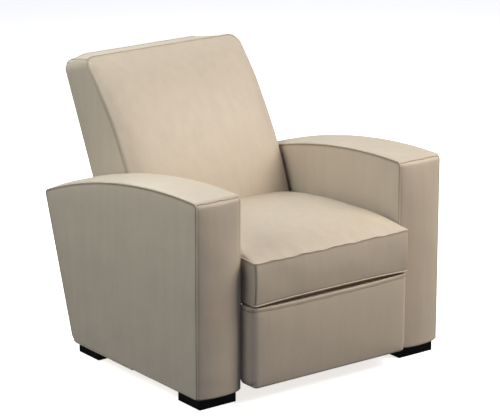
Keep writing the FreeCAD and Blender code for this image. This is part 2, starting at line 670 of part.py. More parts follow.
def spring_rows():
    """Sideways places of the seat's springs."""
    count = int(number("Sizes.spring_count"))
    outermost = f"({PLATE_IN} - Sizes.spring_margin)"
    return [f"({outermost} * {2 * i / (count - 1) - 1})" for i in range(count)]


def zigzag(across, front, rear, height):
    """One sinuous spring: straight legs across the seat joined by half turns."""
    turn = number("Sizes.spring_turn")
    half = number("Sizes.spring_span") / 2 - turn
    wire_radius = number("Sizes.spring_wire")
    legs = 2 * int((rear - front) / (4 * turn)) + 1
    step = (rear - front) / (legs - 1)
    edges = []
    for i in range(legs):
        way = 1 if i % 2 == 0 else -1
        depth = front + i * step
        start = FreeCAD.Vector(across - way * half, depth, height)
        finish = FreeCAD.Vector(across + way * half, depth, height)
        edges.append(Part.LineSegment(start, finish).toShape())
        if i < legs - 1:
            beyond = FreeCAD.Vector(across + way * (half + step / 2), depth + step / 2, height)
            landing = FreeCAD.Vector(across + way * half, depth + step, height)
            edges.append(Part.Arc(finish, beyond, landing).toShape())
    path = Part.Wire(edges)
    ring = Part.Circle(FreeCAD.Vector(across - half, front, height), FreeCAD.Vector(1, 0, 0),
                       wire_radius)
    return path.makePipeShell([Part.Wire(ring.toShape())], True, False)


def make_seat_springs():
    """Sinuous springs, their clips and the deck cloth over them."""
    front = "(Sizes.nose_rear - Sizes.spring_inset)"
    rear = "(Sizes.rail_rear - Sizes.rail_board / 2)"
    height = "(Sizes.rail_top + Sizes.spring_wire + Sizes.pin_fit)"
    wires = [zigzag(number(row), number(front), number(rear), number(height))
             for row in spring_rows()]
    keep(solid_piece("springs", Part.Compound(wires)), "seat_springs")
    clips = []
    clip_top = "(Sizes.rail_top + 2 * Sizes.spring_wire + 2 * Sizes.pin_fit + Sizes.clip_roof)"
    for i, row in enumerate(spring_rows()):
        for end, depth in (("front", front), ("rear", rear)):
            name = f"clip_{end}_{i}"
            block = board(name, (f"{row} - Sizes.clip_length / 2", f"{row} + Sizes.clip_length / 2"),
                          (f"{depth} - Sizes.clip_depth / 2", f"{depth} + Sizes.clip_depth / 2"),
                          ("Sizes.rail_top", clip_top))
            slot = board(name + "_slot",
                         (f"{row} - Sizes.clip_length", f"{row} + Sizes.clip_length"),
                         (f"{depth} - Sizes.spring_wire - Sizes.pin_fit",
                          f"{depth} + Sizes.spring_wire + Sizes.pin_fit"),
                         ("Sizes.rail_top", f"{clip_top} - Sizes.clip_roof"))
            clips.append(cut(name + "_bent", block, slot))
    keep(compound("clips", clips), "spring_clips")
    keep(board("deck", (f"-{RAIL_IN}", RAIL_IN), ("-Sizes.nose_reach", "Sizes.rail_rear"),
               (DECK_BASE, f"{DECK_BASE} + Sizes.deck_cloth")), "seat_deck_cloth")


# Seat cushion

# A section of a swollen face, as (share of the half width, share of the swell).
CUSHION_SHOULDER = (0.8, 0.72)
CUSHION_ROUND = (0.94, 0.46)
PAD_SHOULDER = (0.8, 0.66)
PAD_ROUND = (0.93, 0.4)
# How the cushion's crown grows from its front to its rear, as (place, share).
CROWN_STATIONS = ((0, 0.12), (0.05, 0.5), (0.16, 0.84), (0.4, 1), (0.65, 0.95), (0.85, 0.75), (1, 0.45))
FALL_POWER = 1.3
# How the backrest's pad swells: at its ends, more in the middle, less near the top.
SWELL_ENDS = 0.55
SWELL_MIDDLE = 1.8
SWELL_TOP = (4, 0.25)


def welt_front(height):
    """Depth of the backrest's front welt at a height, both in its leaning frame."""
    sweep = number("Sizes.back_sweep")
    beside = math.sqrt(sweep ** 2 - (height - number("Sizes.back_crest")) ** 2)
    return sweep - beside - number("Sizes.back_front")


def back_swell(height):
    """How far the backrest's pad swells at a height: most in the middle."""
    low, high = number(BACK_BOTTOM), number("Sizes.back_top")
    share = (height - low) / (high - low)
    slope, least = SWELL_TOP
    return (number("Sizes.back_crown") * (SWELL_ENDS + SWELL_MIDDLE * share * (1 - share))
            * min(1, slope * (1 - share) + least))


def cushion_section(share, crown, lean):
    """A section of the cushion across the seat, at a share of its length.

    The bottom is flat, the sides are arcs drawn in at half height, and the
    top is a shoulder arc at each side with a flatter arc between them.
    """
    half = number(CUSHION_HALF)
    base = number(CUSHION_BASE)
    edge = base + number("Sizes.cushion_side") - number("Sizes.cushion_fall") * share ** FALL_POWER
    waist = half - number("Sizes.cushion_waist")
    front = -number("Sizes.cushion_overhang")
    rear = cushion_rear_depth(base)
    depth = front + (rear - front) * share
    slant = math.tan(math.radians(lean))

    def point(x, z):
        return FreeCAD.Vector(x, depth + (z - base) * slant, z)

    shoulder = CUSHION_SHOULDER[0] * half
    shoulder_top = edge + CUSHION_SHOULDER[1] * crown
    turn = CUSHION_ROUND[0] * half
    turn_top = edge + CUSHION_ROUND[1] * crown
    middle = (base + edge) / 2
    points = [point(-half, base), point(half, base), point(half, edge),
              point(shoulder, shoulder_top), point(-shoulder, shoulder_top), point(-half, edge)]
    arcs = {1: point(waist, middle),
            2: point(turn, turn_top),
            3: point(0, edge + crown),
            4: point(-turn, turn_top),
            5: point(-waist, middle)}
    return closed_wire(points, arcs)


def cushion_rear_depth(height):
    """Depth of the cushion's rear face, which lies in front of the back's pad."""
    lean = math.radians(number("Sizes.back_lean"))
    crest = -number("Sizes.back_front")
    nearest = crest - back_swell(number("Sizes.back_crest")) - number("Sizes.play")
    along = (height - number(HINGE[1]) + nearest * math.sin(lean)) / math.cos(lean)
    return number(HINGE[0]) + nearest * math.cos(lean) + along * math.sin(lean)


def make_cushion():
    """The loose seat cushion: crowned, with drawn-in sides and a leaning rear."""
    full = number("Sizes.cushion_crown")
    lean = number("Sizes.back_lean")
    sections = [cushion_section(share, full * height, lean * share)
                for share, height in CROWN_STATIONS]
    keep(solid_piece("cushion", loft(sections)), "seat_cushion")


# Footrest mechanism

def make_side_plates():
    """Steel plates on the side rails, which carry the linkage and the back's hinges."""
    tube_y, tube_z = TUBE
    low = f"({SUPPORT[1]} - Sizes.plate_eye)"
    top = f"({tube_z} + Sizes.plate_eye)"
    eye = "Sizes.hinge_eye"
    corners = [(f"{tube_y} - Sizes.plate_eye", f"{tube_z} - Sizes.plate_eye"),
               (f"{tube_y} - Sizes.plate_eye", top),
               ("Sizes.rail_rear", top),
               (HINGE[0], f"{HINGE[1]} + {eye}"),
               (f"{HINGE[0]} + {eye}", f"{HINGE[1]} + {eye} / 3"),
               (f"{HINGE[0]} + {eye}", f"{HINGE[1]} - {eye}"),
               (CROSS[0], f"{CROSS[1]} - Sizes.plate_web / 2"),
               (f"{SUPPORT[0]} + Sizes.plate_eye", low),
               (f"{SUPPORT[0]} - Sizes.plate_eye", low)]
    pin_hole = "Sizes.pin_radius + Sizes.pin_fit"
    bolt_hole = "Sizes.bolt_radius + Sizes.pin_fit"
    holes = [(TUBE, "Sizes.tube_radius + Sizes.bush_wall + 2 * Sizes.pin_fit"),
             (SUPPORT, pin_hole),
             (HINGE, pin_hole),
             (CROSS, "Sizes.cross_radius + Sizes.pin_fit")]
    holes += [(centre, bolt_hole) for centre in arm_bolt_centres()]
    keep_sides("side_plate", flat_plate("side_plate", PLATE_IN, corners, holes))


def tube_along_x(name, radius, bore, half, centre):
    """A tube across the whole seat."""
    ends = (f"-({half})", half)
    return cut(name, rod(name + "_bar", radius, ends, centre),
               rod(name + "_hole", bore, ends, centre))


def make_tubes():
    """Drive tube in its bushes, the cross tube and the springs' levers."""
    plate_out = f"({RAIL_IN} - Sizes.play)"
    keep(tube_along_x("drive", "Sizes.tube_radius", "Sizes.tube_bore", plate_out, TUBE), "drive_tube")
    ends = (PLATE_IN, RAIL_IN)
    bore = "(Sizes.tube_radius + Sizes.pin_fit)"
    bush = cut("bush_ring", rod("bush_bar", f"{bore} + Sizes.bush_wall", ends, TUBE),
               rod("bush_hole", bore, ends, TUBE))
    keep(both_sides("bush_pair", bush), "tube_bushes")
    keep(tube_along_x("cross", "Sizes.cross_radius", "Sizes.cross_bore", RAIL_IN,
                      CROSS), "cross_tube")
    bar = link("lever_bar", "Sizes.lever_place", TUBE, "-Sizes.lever_angle", "Sizes.lever_offset",
               [("Sizes.lever_offset", "Sizes.hook_radius + Sizes.pin_fit")], eye="Sizes.lever_eye")
    lever = on_drive_tube("spring_lever", bar, "Sizes.lever_place")
    keep(both_sides("lever_pair", lever), "spring_levers")


def on_drive_tube(name, bar, across):
    """A link with a collar that is welded round the drive tube."""
    ends = (across, f"({across} + Sizes.link_board)")
    collar = rod(name + "_collar", "Sizes.tube_radius + Sizes.collar_wall", ends, TUBE)
    bore = rod(name + "_bore", "Sizes.tube_radius", ends, TUBE)
    return cut(name, fuse(name + "_blank", [bar, collar]), bore)


def lever_hole():
    """Depth and height of the levers' holes when stowed."""
    return (f"({TUBE[0]} + Sizes.lever_offset * cos(Sizes.lever_angle))",
            f"({TUBE[1]} - Sizes.lever_offset * sin(Sizes.lever_angle))")


def make_footrest_springs():
    """Extension springs from the levers to the cross tube, which hold the footrest in."""
    start_y, start_z = (number(part) for part in lever_hole())
    finish_y, finish_z = (number(part) for part in CROSS)
    across = number("Sizes.lever_place + Sizes.link_board / 2")
    start = FreeCAD.Vector(across, start_y, start_z)
    way = FreeCAD.Vector(0, finish_y - start_y, finish_z - start_z)
    reach = way.Length - number("Sizes.cross_radius + Sizes.play")
    way.normalize()
    hook = number("Sizes.hook_length")
    coil = Part.makeCylinder(number("Sizes.coil_radius"), reach - 2 * hook, start + way * hook, way)
    tail = Part.makeCylinder(number("Sizes.hook_radius"), hook + 1, start + way * (reach - hook - 1), way)
    lead_start = number("Sizes.lever_eye + Sizes.play")
    lead = Part.makeCylinder(number("Sizes.hook_radius"), hook + 1 - lead_start,
                             start + way * lead_start, way)
    left = coil.fuse([tail, lead])
    right = left.mirror(FreeCAD.Vector(0, 0, 0), FreeCAD.Vector(1, 0, 0))
    keep(solid_piece("extension_springs", Part.Compound([left, right])), "footrest_springs")


def make_links():
    """The links of both sides and the pins they turn on."""
    hole = "Sizes.pin_radius + Sizes.pin_fit"
    down = "-Sizes.stow_angle"
    whole = "(Sizes.drive_length + Sizes.drive_tail)"
    bar = link("drive_bar", OUTER_LINK, TUBE, down, whole, [("Sizes.drive_length", hole), (whole, hole)])
    keep_sides("drive_link", on_drive_tube("drive_link", bar, OUTER_LINK))
    keep_sides("support_link", link("support_link", OUTER_LINK, SUPPORT, down, "Sizes.drive_length",
                                    [("0", hole), ("Sizes.drive_length", hole)]))
    span = f"({PIVOT_SPAN} + {REACH_LENGTH})"
    keep_sides("upper_link", link("upper_link", INNER_LINK, ELBOW, REACH_ANGLE, span,
                                  [("0", hole), (PIVOT_SPAN, hole), (span, hole)]))
    keep_sides("lower_link", link("lower_link", INNER_LINK, KNEE, REACH_ANGLE, REACH_LENGTH,
                                  [("0", hole), (REACH_LENGTH, hole)]))
    layer = "Sizes.link_board"
    keep(both_sides("support_pin_pair", pin("support_pin", SUPPORT, OUTER_LINK, RAIL_IN)), "support_pins")
    for name, centre in (("crossing_pins", CROSSING), ("knee_pins", KNEE), ("elbow_pins", ELBOW)):
        both = both_sides(name + "_pair", pin(name, centre, INNER_LINK, f"({OUTER_LINK} + {layer})"))
        keep(both, name)
    for name, centre in (("upper_toe_pins", UPPER_TOE), ("lower_toe_pins", LOWER_TOE)):
        both = both_sides(name + "_pair", pin(name, centre, BRACKET_IN, f"({INNER_LINK} + {layer})"))
        keep(both, name)


def make_arm_bolts():
    """Bolts from the side plates through the rails into nuts inside the arms."""
    nut_face = f"({ARM_INNER} + Sizes.arm_wall + Sizes.play + Sizes.panel_board)"
    bolts = []
    nuts = []
    for i, centre in enumerate(arm_bolt_centres()):
        shank = rod(f"bolt_shank_{i}", "Sizes.bolt_radius", (PLATE_IN, f"{nut_face} + Sizes.nut_height"),
                    centre)
        head = rod(f"bolt_head_{i}", "Sizes.bolt_head", (f"{PLATE_IN} - Sizes.bolt_cap", PLATE_IN), centre)
        bolts.append(fuse(f"arm_bolt_{i}", [shank, head]))
        ends = (nut_face, f"{nut_face} + Sizes.nut_height")
        nuts.append(cut(f"arm_nut_{i}", rod(f"nut_bar_{i}", "Sizes.nut_radius", ends, centre),
                        rod(f"nut_hole_{i}", "Sizes.bolt_radius + Sizes.pin_fit", ends, centre)))
    keep(both_sides("bolt_pair", compound("left_bolts", bolts)), "arm_bolts")
    keep(both_sides("nut_pair", compound("left_nuts", nuts)), "arm_nuts")


# Footrest

# How the footrest's pad swells up its height, as (place, share).
BOW_STATIONS = ((0, 0.3), (0.12, 0.8), (0.5, 1), (0.88, 0.8), (1, 0.3))


def rest_section(height, share):
    """A level section of the footrest's pad; its front swells by a share of the bow."""
    half = number(REST_HALF)
    corner = number("Sizes.rest_corner")
    bow = number("Sizes.rest_bow")
    rear = number(REST_FACE)
    face = -number("Sizes.rest_reach") + bow * (1 - share)
    edge = -number("Sizes.rest_reach") + bow
    turn = corner * (1 - math.sqrt(0.5))

    def point(x, y):
        return FreeCAD.Vector(x, y, height)

    points = [point(-half, rear), point(half, rear), point(half, edge + corner),
              point(half - corner, edge), point(corner - half, edge), point(-half, edge + corner)]
    arcs = {2: point(half - turn, edge + turn),
            3: point(0, face - 0.001),
            4: point(turn - half, edge + turn)}
    return closed_wire(points, arcs)


def make_footrest():
    """The upholstered footrest, its board, brackets and screws."""
    base, top = number("Sizes.rest_base"), number(REST_TOP)
    sections = [rest_section(base + (top - base) * share, swell) for share, swell in BOW_STATIONS]
    keep(solid_piece("rest_pad", loft(sections)), "footrest_pad")
    half = f"({REST_HALF} - Sizes.rest_margin)"
    plate = board("rest_plate", (f"-{half}", half), (REST_FACE, REST_REAR),
                  ("Sizes.rest_base + Sizes.rest_margin", f"{REST_TOP} - Sizes.rest_margin"))
    holes, screws = make_rest_screws()
    keep(cut("bored_rest_plate", plate, holes), "footrest_board")
    keep(screws, "footrest_screws")
    plate_out = (BRACKET_IN, f"{BRACKET_IN} + Sizes.link_board")
    eye = "Sizes.link_eye"
    rise = f"({UPPER_TOE[1]} + {eye})"
    web = flat_plate("rest_bracket_web", BRACKET_IN,
                     [(REST_REAR, f"{rise} - Sizes.flange_height"), (REST_REAR, rise),
                      (f"{UPPER_TOE[0]} + {eye}", rise),
                      (f"{LOWER_TOE[0]} + {eye}", f"{LOWER_TOE[1]} + {eye}"),
                      (f"{LOWER_TOE[0]} + {eye}", f"{LOWER_TOE[1]} - {eye}")],
                     [(UPPER_TOE, "Sizes.pin_radius + Sizes.pin_fit"),
                      (LOWER_TOE, "Sizes.pin_radius + Sizes.pin_fit")])
    flange = board("rest_flange", (f"{plate_out[1]} - Sizes.flange_width", plate_out[1]),
                   (REST_REAR, f"{REST_REAR} + Sizes.link_board"),
                   (f"{rise} - Sizes.flange_height", rise))
    solid = fuse("rest_bracket", [web, flange])
    keep_sides("footrest_bracket", cut("bored_rest_bracket", solid, holes))


def make_rest_screws():
    """Three screws through each bracket's flange into the board, and their holes."""
    across = f"({BRACKET_IN} - Sizes.flange_width / 2 + Sizes.link_board / 2)"
    seat = f"({REST_REAR} + Sizes.link_board)"
    holes = []
    screws = []
    for i in range(3):
        height = f"({UPPER_TOE[1]} + Sizes.link_eye - Sizes.flange_height * {(2 * i + 1) / 6})"
        parts = []
        for kind, radius, length, start in (
                ("hole", "Sizes.rest_screw_radius + Sizes.pin_fit",
                 "Sizes.link_board + Sizes.rest_screw_bite", seat),
                ("shank", "Sizes.rest_screw_radius", "Sizes.link_board + Sizes.rest_screw_bite", seat),
                ("head", "Sizes.rest_screw_head", "Sizes.rest_screw_cap", f"{seat} + Sizes.rest_screw_cap")):
            bar = doc.addObject("Part::Cylinder", f"rest_{kind}_{i}")
            bind(bar, Radius=radius, Height=length)
            place(bar, across, f"({start})", height)
            bar.Placement.Rotation = FreeCAD.Rotation(FreeCAD.Vector(1, 0, 0), 90)
            parts.append(bar)
        holes.append(parts[0])
        screws.append(fuse(f"rest_screw_{i}", parts[1:]))
    return (both_sides("rest_hole_pair", compound("rest_holes", holes)),
            both_sides("rest_screw_pair", compound("rest_screw_row", screws)))


# Backrest

PAD_STEPS = 14
RAIL_SHARES = (0, 0.45, 1)
BRACKET_BOLT = (f"({BACK_BOTTOM} + Sizes.play + Sizes.back_rail_height + Sizes.bolt_head"
                f" + Sizes.bolt_clear)")


def sweep_depth(height, offset):
    """Expression for the front welt's arc at a height, set off backwards."""
    beside = f"sqrt(Sizes.back_sweep ^ 2 - ({height} - Sizes.back_crest) ^ 2)"
    return f"(Sizes.back_sweep - {beside} - Sizes.back_front + {offset})"


TOP_DEPTH = f"(Sizes.back_rear - {sweep_depth('Sizes.back_top', '0')})"
TOP_SLOPE = f"((Sizes.back_peak - Sizes.back_top) / {TOP_DEPTH})"
PAD_REAR = f"({sweep_depth('Sizes.back_top', 'Sizes.back_lip')} + Sizes.pad_core)"
COVER_TOP = f"(Sizes.back_top + {TOP_SLOPE} * (Sizes.back_lip + Sizes.play))"


def is_top_corner(edge, half):
    """True where an edge runs front to back at a side, near the backrest's top."""
    start, finish = edge.Vertexes[0].Point, edge.Vertexes[-1].Point
    at_side = all(abs(abs(point.x) - number(half)) < 0.01 for point in (start, finish))
    along = abs(start.x - finish.x) < 0.01 and abs(start.y - finish.y) > number("Sizes.back_wall")
    low = number("Sizes.back_top - 2 * Sizes.back_wall")
    return at_side and along and min(start.z, finish.z) > low


def back_cover():
    """The backrest's sides, top and rear: a shell open to the front and below."""
    body = doc.addObject("PartDesign::Body", "back_cover")
    sketch = new_sketch(body, "YZ_Plane")
    lip = "(Sizes.back_lip + Sizes.play)"
    low_front = (sweep_depth(BACK_BOTTOM, lip), BACK_BOTTOM)
    high_front = (sweep_depth(COVER_TOP, lip), COVER_TOP)
    corners = [low_front, ("Sizes.back_rear", BACK_BOTTOM),
               ("Sizes.back_rear", "Sizes.back_peak"), high_front]
    draw_outline(sketch, corners, {3: "Sizes.back_sweep"})
    pad(body, sketch, f"2 * {BACK_HALF}", midplane=True)
    inner = new_sketch(body, "YZ_Plane")
    wall = "Sizes.back_wall"
    drop = f"({wall} * sqrt(1 + {TOP_SLOPE} ^ 2))"
    reach = "(Sizes.back_front + Sizes.back_wall)"
    draw_outline(inner, [(f"-{reach}", "0"), (f"Sizes.back_rear - {wall}", "0"),
                         (f"Sizes.back_rear - {wall}", f"Sizes.back_peak - {drop} - {wall} * {TOP_SLOPE}"),
                         (f"-{reach}",
                          f"Sizes.back_peak - {drop} - (Sizes.back_rear + {reach}) * {TOP_SLOPE}")])
    doc.recompute()
    hollow = pocket(body, inner, f"2 * ({BACK_HALF} - {wall})", midplane=True)
    softened = round_edges(body, hollow, f"Sizes.back_corner - {wall}",
                           lambda edge: is_top_corner(edge, f"{BACK_HALF} - {wall}"))
    round_edges(body, softened, "Sizes.back_corner",
                lambda edge: is_top_corner(edge, BACK_HALF))
    return place_leaning(body)


def trim_corners(shape, half, top, corner):
    """Rounds the two top corners of a part of the pad."""
    reach = number("Sizes.back_front") * 2
    turn = corner * (1 - math.sqrt(0.5))
    for side in (-1, 1):

        def point(inset, rise):
            return FreeCAD.Vector(side * (half - inset), -reach, top + rise)

        waste = closed_wire([point(corner, 0), point(0, -corner), point(-corner, -corner),
                             point(-corner, corner), point(corner, corner)],
                            {0: point(turn, -turn)})
        shape = shape.cut(Part.Face(waste).extrude(FreeCAD.Vector(0, 2 * reach, 0)))
    return shape


def pad_section(height):
    """A section of the pad's swollen front, from its rim forwards."""
    half = number(BACK_HALF)
    face = welt_front(height)
    rim = face + number("Sizes.back_lip")
    swell = back_swell(height)
    shoulder = PAD_SHOULDER[0] * half
    shoulder_face = face - PAD_SHOULDER[1] * swell
    turn = PAD_ROUND[0] * half
    turn_face = face - PAD_ROUND[1] * swell

    def point(x, n):
        return FreeCAD.Vector(x, n, height)

    points = [point(-half, rim), point(half, rim), point(half, face),
              point(shoulder, shoulder_face), point(-shoulder, shoulder_face),
              point(-half, face)]
    arcs = {2: point(turn, turn_face), 3: point(0, face - swell), 4: point(-turn, turn_face)}
    return closed_wire(points, arcs)


def block_section(height, half):
    """A section of the pad's body, which lies inside the cover."""
    front = welt_front(height) + number("Sizes.back_lip") - 1
    rear = number(PAD_REAR)
    points = [FreeCAD.Vector(x, n, height)
              for x, n in ((-half, front), (half, front), (half, rear), (-half, rear))]
    return Part.makePolygon(points + points[:1])


def make_back_pad():
    """The backrest's pad: a swollen front with a rim over the cover's edge."""
    low, top = number(BACK_BOTTOM), number("Sizes.back_top")
    half = number(BACK_HALF)
    heights = [low + (top - low) * i / PAD_STEPS for i in range(PAD_STEPS + 1)]
    front = loft([pad_section(height) for height in heights])
    front = trim_corners(front, half, top, number("Sizes.pad_corner"))
    inset = number("Sizes.back_wall + Sizes.play")
    step = (top - inset - low) / PAD_STEPS
    block = loft([block_section(low + i * step, half - inset) for i in range(PAD_STEPS + 1)])
    block = trim_corners(block, half - inset, top - inset, number("Sizes.back_corner - Sizes.back_wall"))
    keep(solid_piece("back_cushion", front.fuse(block), leaning=True), "back_pad")


def make_back_frame():
    """Posts, rails, webbing and boards inside the backrest."""
    front = f"({PAD_REAR} + Sizes.play + Sizes.strap_board)"
    rear = "(Sizes.back_rear - Sizes.back_wall - Sizes.play - Sizes.back_board)"
    low = f"({BACK_BOTTOM} + Sizes.play)"
    high = "(Sizes.back_peak - Sizes.post_end)"
    post_out = f"({POST_IN} + Sizes.post_board)"
    post = board("back_post", (POST_IN, post_out), (front, rear), (low, high), leaning=True)
    keep(both_sides("post_pair", cut("bored_post", post, bracket_bolts("post_hole", True))), "back_posts")
    rails = []
    for i, share in enumerate(RAIL_SHARES):
        base = f"({low} + {share} * ({high} - {low} - Sizes.back_rail_height))"
        rails.append(board(f"back_rail_{i}", (f"-{POST_IN}", POST_IN),
                           (front, f"{front} + Sizes.back_rail_depth"),
                           (base, f"{base} + Sizes.back_rail_height"), leaning=True))
    keep(compound("back_rail_set", rails), "back_rails")
    straps = []
    count = int(number("Sizes.strap_count"))
    for i in range(count):
        base = f"({low} + {(i + 0.5) / count} * ({high} - {low}) - Sizes.strap_width / 2)"
        straps.append(board(f"strap_{i}", (f"-{post_out}", post_out),
                            (f"{front} - Sizes.strap_board", front),
                            (base, f"{base} + Sizes.strap_width"), leaning=True))
    keep(compound("straps", straps), "back_webbing")
    keep(board("hardboard", (f"-{post_out}", post_out), (rear, f"{rear} + Sizes.back_board"),
               (low, high), leaning=True), "back_rear_board")


def bracket_bolts(name, hole):
    """The bolts that hold the left back bracket to its post, or their holes."""
    radius = "Sizes.bolt_radius + Sizes.pin_fit" if hole else "Sizes.bolt_radius"
    bars = []
    for i in range(2):
        centre = ("0", f"({BRACKET_BOLT} + {i} * Sizes.bracket_bolt_pitch)")
        shank = rod(f"{name}_{i}", radius, (POST_IN, f"({BACK_BRACKET} + Sizes.link_board)"), centre, True)
        if hole:
            bars.append(shank)
            continue
        head = rod(f"{name}_head_{i}", "Sizes.bolt_head", (f"{POST_IN} - Sizes.bolt_cap", POST_IN), centre,
                   True)
        bars.append(fuse(f"{name}_whole_{i}", [shank, head]))
    return compound(name, bars)


def make_back_hinges():
    """Brackets on the posts, their bolts and the pins they turn on."""
    hole = "Sizes.pin_radius + Sizes.pin_fit"
    bolt = "Sizes.bolt_radius + Sizes.pin_fit"
    second = f"({BRACKET_BOLT} + Sizes.bracket_bolt_pitch)"
    holes = [("0", hole), (BRACKET_BOLT, bolt), (second, bolt)]
    keep_sides("back_bracket", link("back_bracket", BACK_BRACKET, ("0", "0"), "90",
                                    f"({second} + Sizes.bracket_end)", holes,
                                    eye="Sizes.hinge_eye", leaning=True))
    keep(both_sides("bracket_bolt_pair", bracket_bolts("bracket_bolt", False)), "back_bracket_bolts")
    keep(both_sides("hinge_pin_pair", pin("hinge_pin", HINGE, BACK_BRACKET, RAIL_IN)),
         "back_hinge_pins")


# Rear panel

def make_rear_panel():
    """Board and cover that close the space between the arms behind the seat."""
    rear_top = arch_height("Sizes.arm_top_depth")
    slope = f"((Sizes.arm_top_depth - Sizes.arm_base_depth) / ({rear_top} - Sizes.foot_height))"

    def depth(height, inset):
        return f"(Sizes.arm_base_depth + ({height} - Sizes.foot_height) * {slope} - {inset})"

    cover_front = "(Sizes.rear_panel_inset + Sizes.rear_panel_cover)"
    layers = (("rear_panel_cover", "Sizes.rear_panel_inset", cover_front),
              ("rear_panel_board", cover_front, f"({cover_front} + Sizes.rear_panel_board)"))
    for name, rear, front in layers:
        low, high = "Sizes.rear_panel_base", "Sizes.rear_panel_top"
        corners = [(depth(low, front), low), (depth(low, rear), low),
                   (depth(high, rear), high), (depth(high, front), high)]
        keep(flat_plate("panel_" + name, f"-{RAIL_OUT}", corners, thickness=f"2 * {RAIL_OUT}"), name)


def build():
    """Makes every piece of the seat."""
    make_arms()
    make_feet()
    make_seat_frame()
    make_seat_springs()
    make_cushion()
    make_side_plates()
    make_tubes()
    make_footrest_springs()
    make_links()
    make_arm_bolts()
    make_footrest()
    keep(back_cover(), "back_cover")
    make_back_pad()
    make_back_frame()
    make_back_hinges()
    make_rear_panel()
    doc.recompute()


def check_and_export():
    """Stops at any failed object or bad solid, then writes one file a piece."""
    for obj in doc.Objects:
        if "Invalid" in obj.State or "Error" in obj.State:
            raise RuntimeError(f"{obj.Name} failed: {obj.State}")
    os.makedirs("parts", exist_ok=True)
    for name, obj in pieces.items():
        if obj.Shape.isNull() or not obj.Shape.isValid():
            raise RuntimeError(f"{name} has no valid shape")
        obj.Shape.exportStep(f"parts/{name}.step")
    print(len(pieces), "pieces")


fill_sheet()
build()
check_and_export()
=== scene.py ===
import json
import logging
import math
from dataclasses import dataclass, field
from enum import Enum
from itertools import product

import bpy
import numpy as np
from mathutils import Matrix, Vector


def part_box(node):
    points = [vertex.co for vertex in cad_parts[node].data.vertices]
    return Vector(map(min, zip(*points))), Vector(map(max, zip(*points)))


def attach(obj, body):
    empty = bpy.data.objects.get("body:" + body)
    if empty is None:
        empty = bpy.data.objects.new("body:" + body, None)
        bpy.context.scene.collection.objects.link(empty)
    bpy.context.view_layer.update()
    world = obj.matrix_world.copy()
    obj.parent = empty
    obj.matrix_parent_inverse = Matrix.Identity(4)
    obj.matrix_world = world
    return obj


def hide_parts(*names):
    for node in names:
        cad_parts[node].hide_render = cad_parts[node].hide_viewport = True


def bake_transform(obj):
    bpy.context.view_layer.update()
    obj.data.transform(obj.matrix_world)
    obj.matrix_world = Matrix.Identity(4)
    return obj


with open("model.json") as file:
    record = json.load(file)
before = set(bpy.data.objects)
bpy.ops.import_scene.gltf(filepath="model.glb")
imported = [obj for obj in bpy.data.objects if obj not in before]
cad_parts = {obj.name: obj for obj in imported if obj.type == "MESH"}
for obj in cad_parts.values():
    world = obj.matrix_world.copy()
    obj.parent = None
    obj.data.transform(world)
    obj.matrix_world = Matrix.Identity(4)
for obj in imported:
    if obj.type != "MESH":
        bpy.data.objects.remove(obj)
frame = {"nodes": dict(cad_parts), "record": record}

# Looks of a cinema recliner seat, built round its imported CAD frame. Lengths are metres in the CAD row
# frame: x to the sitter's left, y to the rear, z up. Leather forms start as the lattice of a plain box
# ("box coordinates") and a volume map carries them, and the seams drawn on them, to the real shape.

Array = np.ndarray
Shell = tuple[Array, list[tuple[int, ...]]]
Spot = tuple[float, float, float]
Colour = tuple[float, float, float]
log = logging.getLogger("seat")
ROW_FRONT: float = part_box("left_arm_cover")[0].y  # y of the arms' front plane in the row frame
LINE_STEP: float = 0.004  # between points along a welt or seam
SEAM_SIDES: int = 6  # points round a seam's thread


class Side(Enum):
    """The sitter's left (+x) or right (-x)."""

    LEFT = 1
    RIGHT = -1

    @property
    def word(self) -> str:
        """Name as CAD nodes spell it."""
        return self.name.lower()


class Slot(Enum):
    """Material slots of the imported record."""

    LEATHER = "cream_leather"
    PLYWOOD = "birch_plywood"
    PINE = "pine"
    BLOCK = "black_block"
    BLACK_STEEL = "black_steel"
    ZINC = "zinc_steel"
    WIRE = "spring_steel"
    CLOTH = "grey_cloth"
    NYLON = "white_nylon"


# ---------------------------------------------------------------- numbers to surfaces


def fade(low: float, high: float, value: Array) -> Array:
    """Smoothstep of value from 0 at low to 1 at high: t squared times (3 - 2t)."""
    t = np.clip((value - low) / (high - low), 0.0, 1.0)
    return t * t * (3 - 2 * t)


def rise(distance: Array, reach: float) -> Array:
    """Share of full height at a distance from a seam: 1 - exp(-distance / reach)."""
    return 1 - np.exp(-np.maximum(distance, 0.0) / reach)


def plump(distance: Array, width: float, power: float = 2.2) -> Array:
    """Share of full height behind a seam: a quarter of a superellipse of that width, flat after it."""
    left = np.clip(1 - distance / width, 0, 1)
    return (1 - left**power) ** (1 / power)


def close(distance: Array, reach: float) -> Array:
    """Share that falls by a square from 1 at a face to 0 at a reach from it."""
    return np.clip(1 - distance / reach, 0, 1) ** 2


def bell(distance: Array, width: float) -> Array:
    """Share that falls to both sides of a line: exp(-(distance / width) squared)."""
    return np.exp(-((distance / width) ** 2))


def soft_noise(points: Array, scale: float, seed: int) -> Array:
    """Smooth field from -1 to 1: hashed values on a lattice of that scale, blended by smoothstep weights.

    Args:
        points: (n, 3) positions.
        scale: Lattice spacing in metres.
        seed: Picks one of many fields.

    Returns:
        One value a point.
    """
    grid = points / scale + 100.0
    base = np.floor(grid).astype(np.int64)
    share = grid - base
    share = share * share * (3 - 2 * share)
    total = np.zeros(len(points))
    for corner in product((0, 1), repeat=3):
        cell = base + np.array(corner)
        code = cell[:, 0] * 73856093 ^ cell[:, 1] * 19349663 ^ cell[:, 2] * 83492791 ^ seed * 2654435
        code = (code ^ (code >> 13)) * 1274126177 & 0x7FFFFFFF
        code = code ^ (code >> 15)
        weight = np.prod(np.where(np.array(corner) == 1, share, 1 - share), axis=1)
        total += weight * ((code & 0xFFFF) / 32767.5 - 1)
    return total


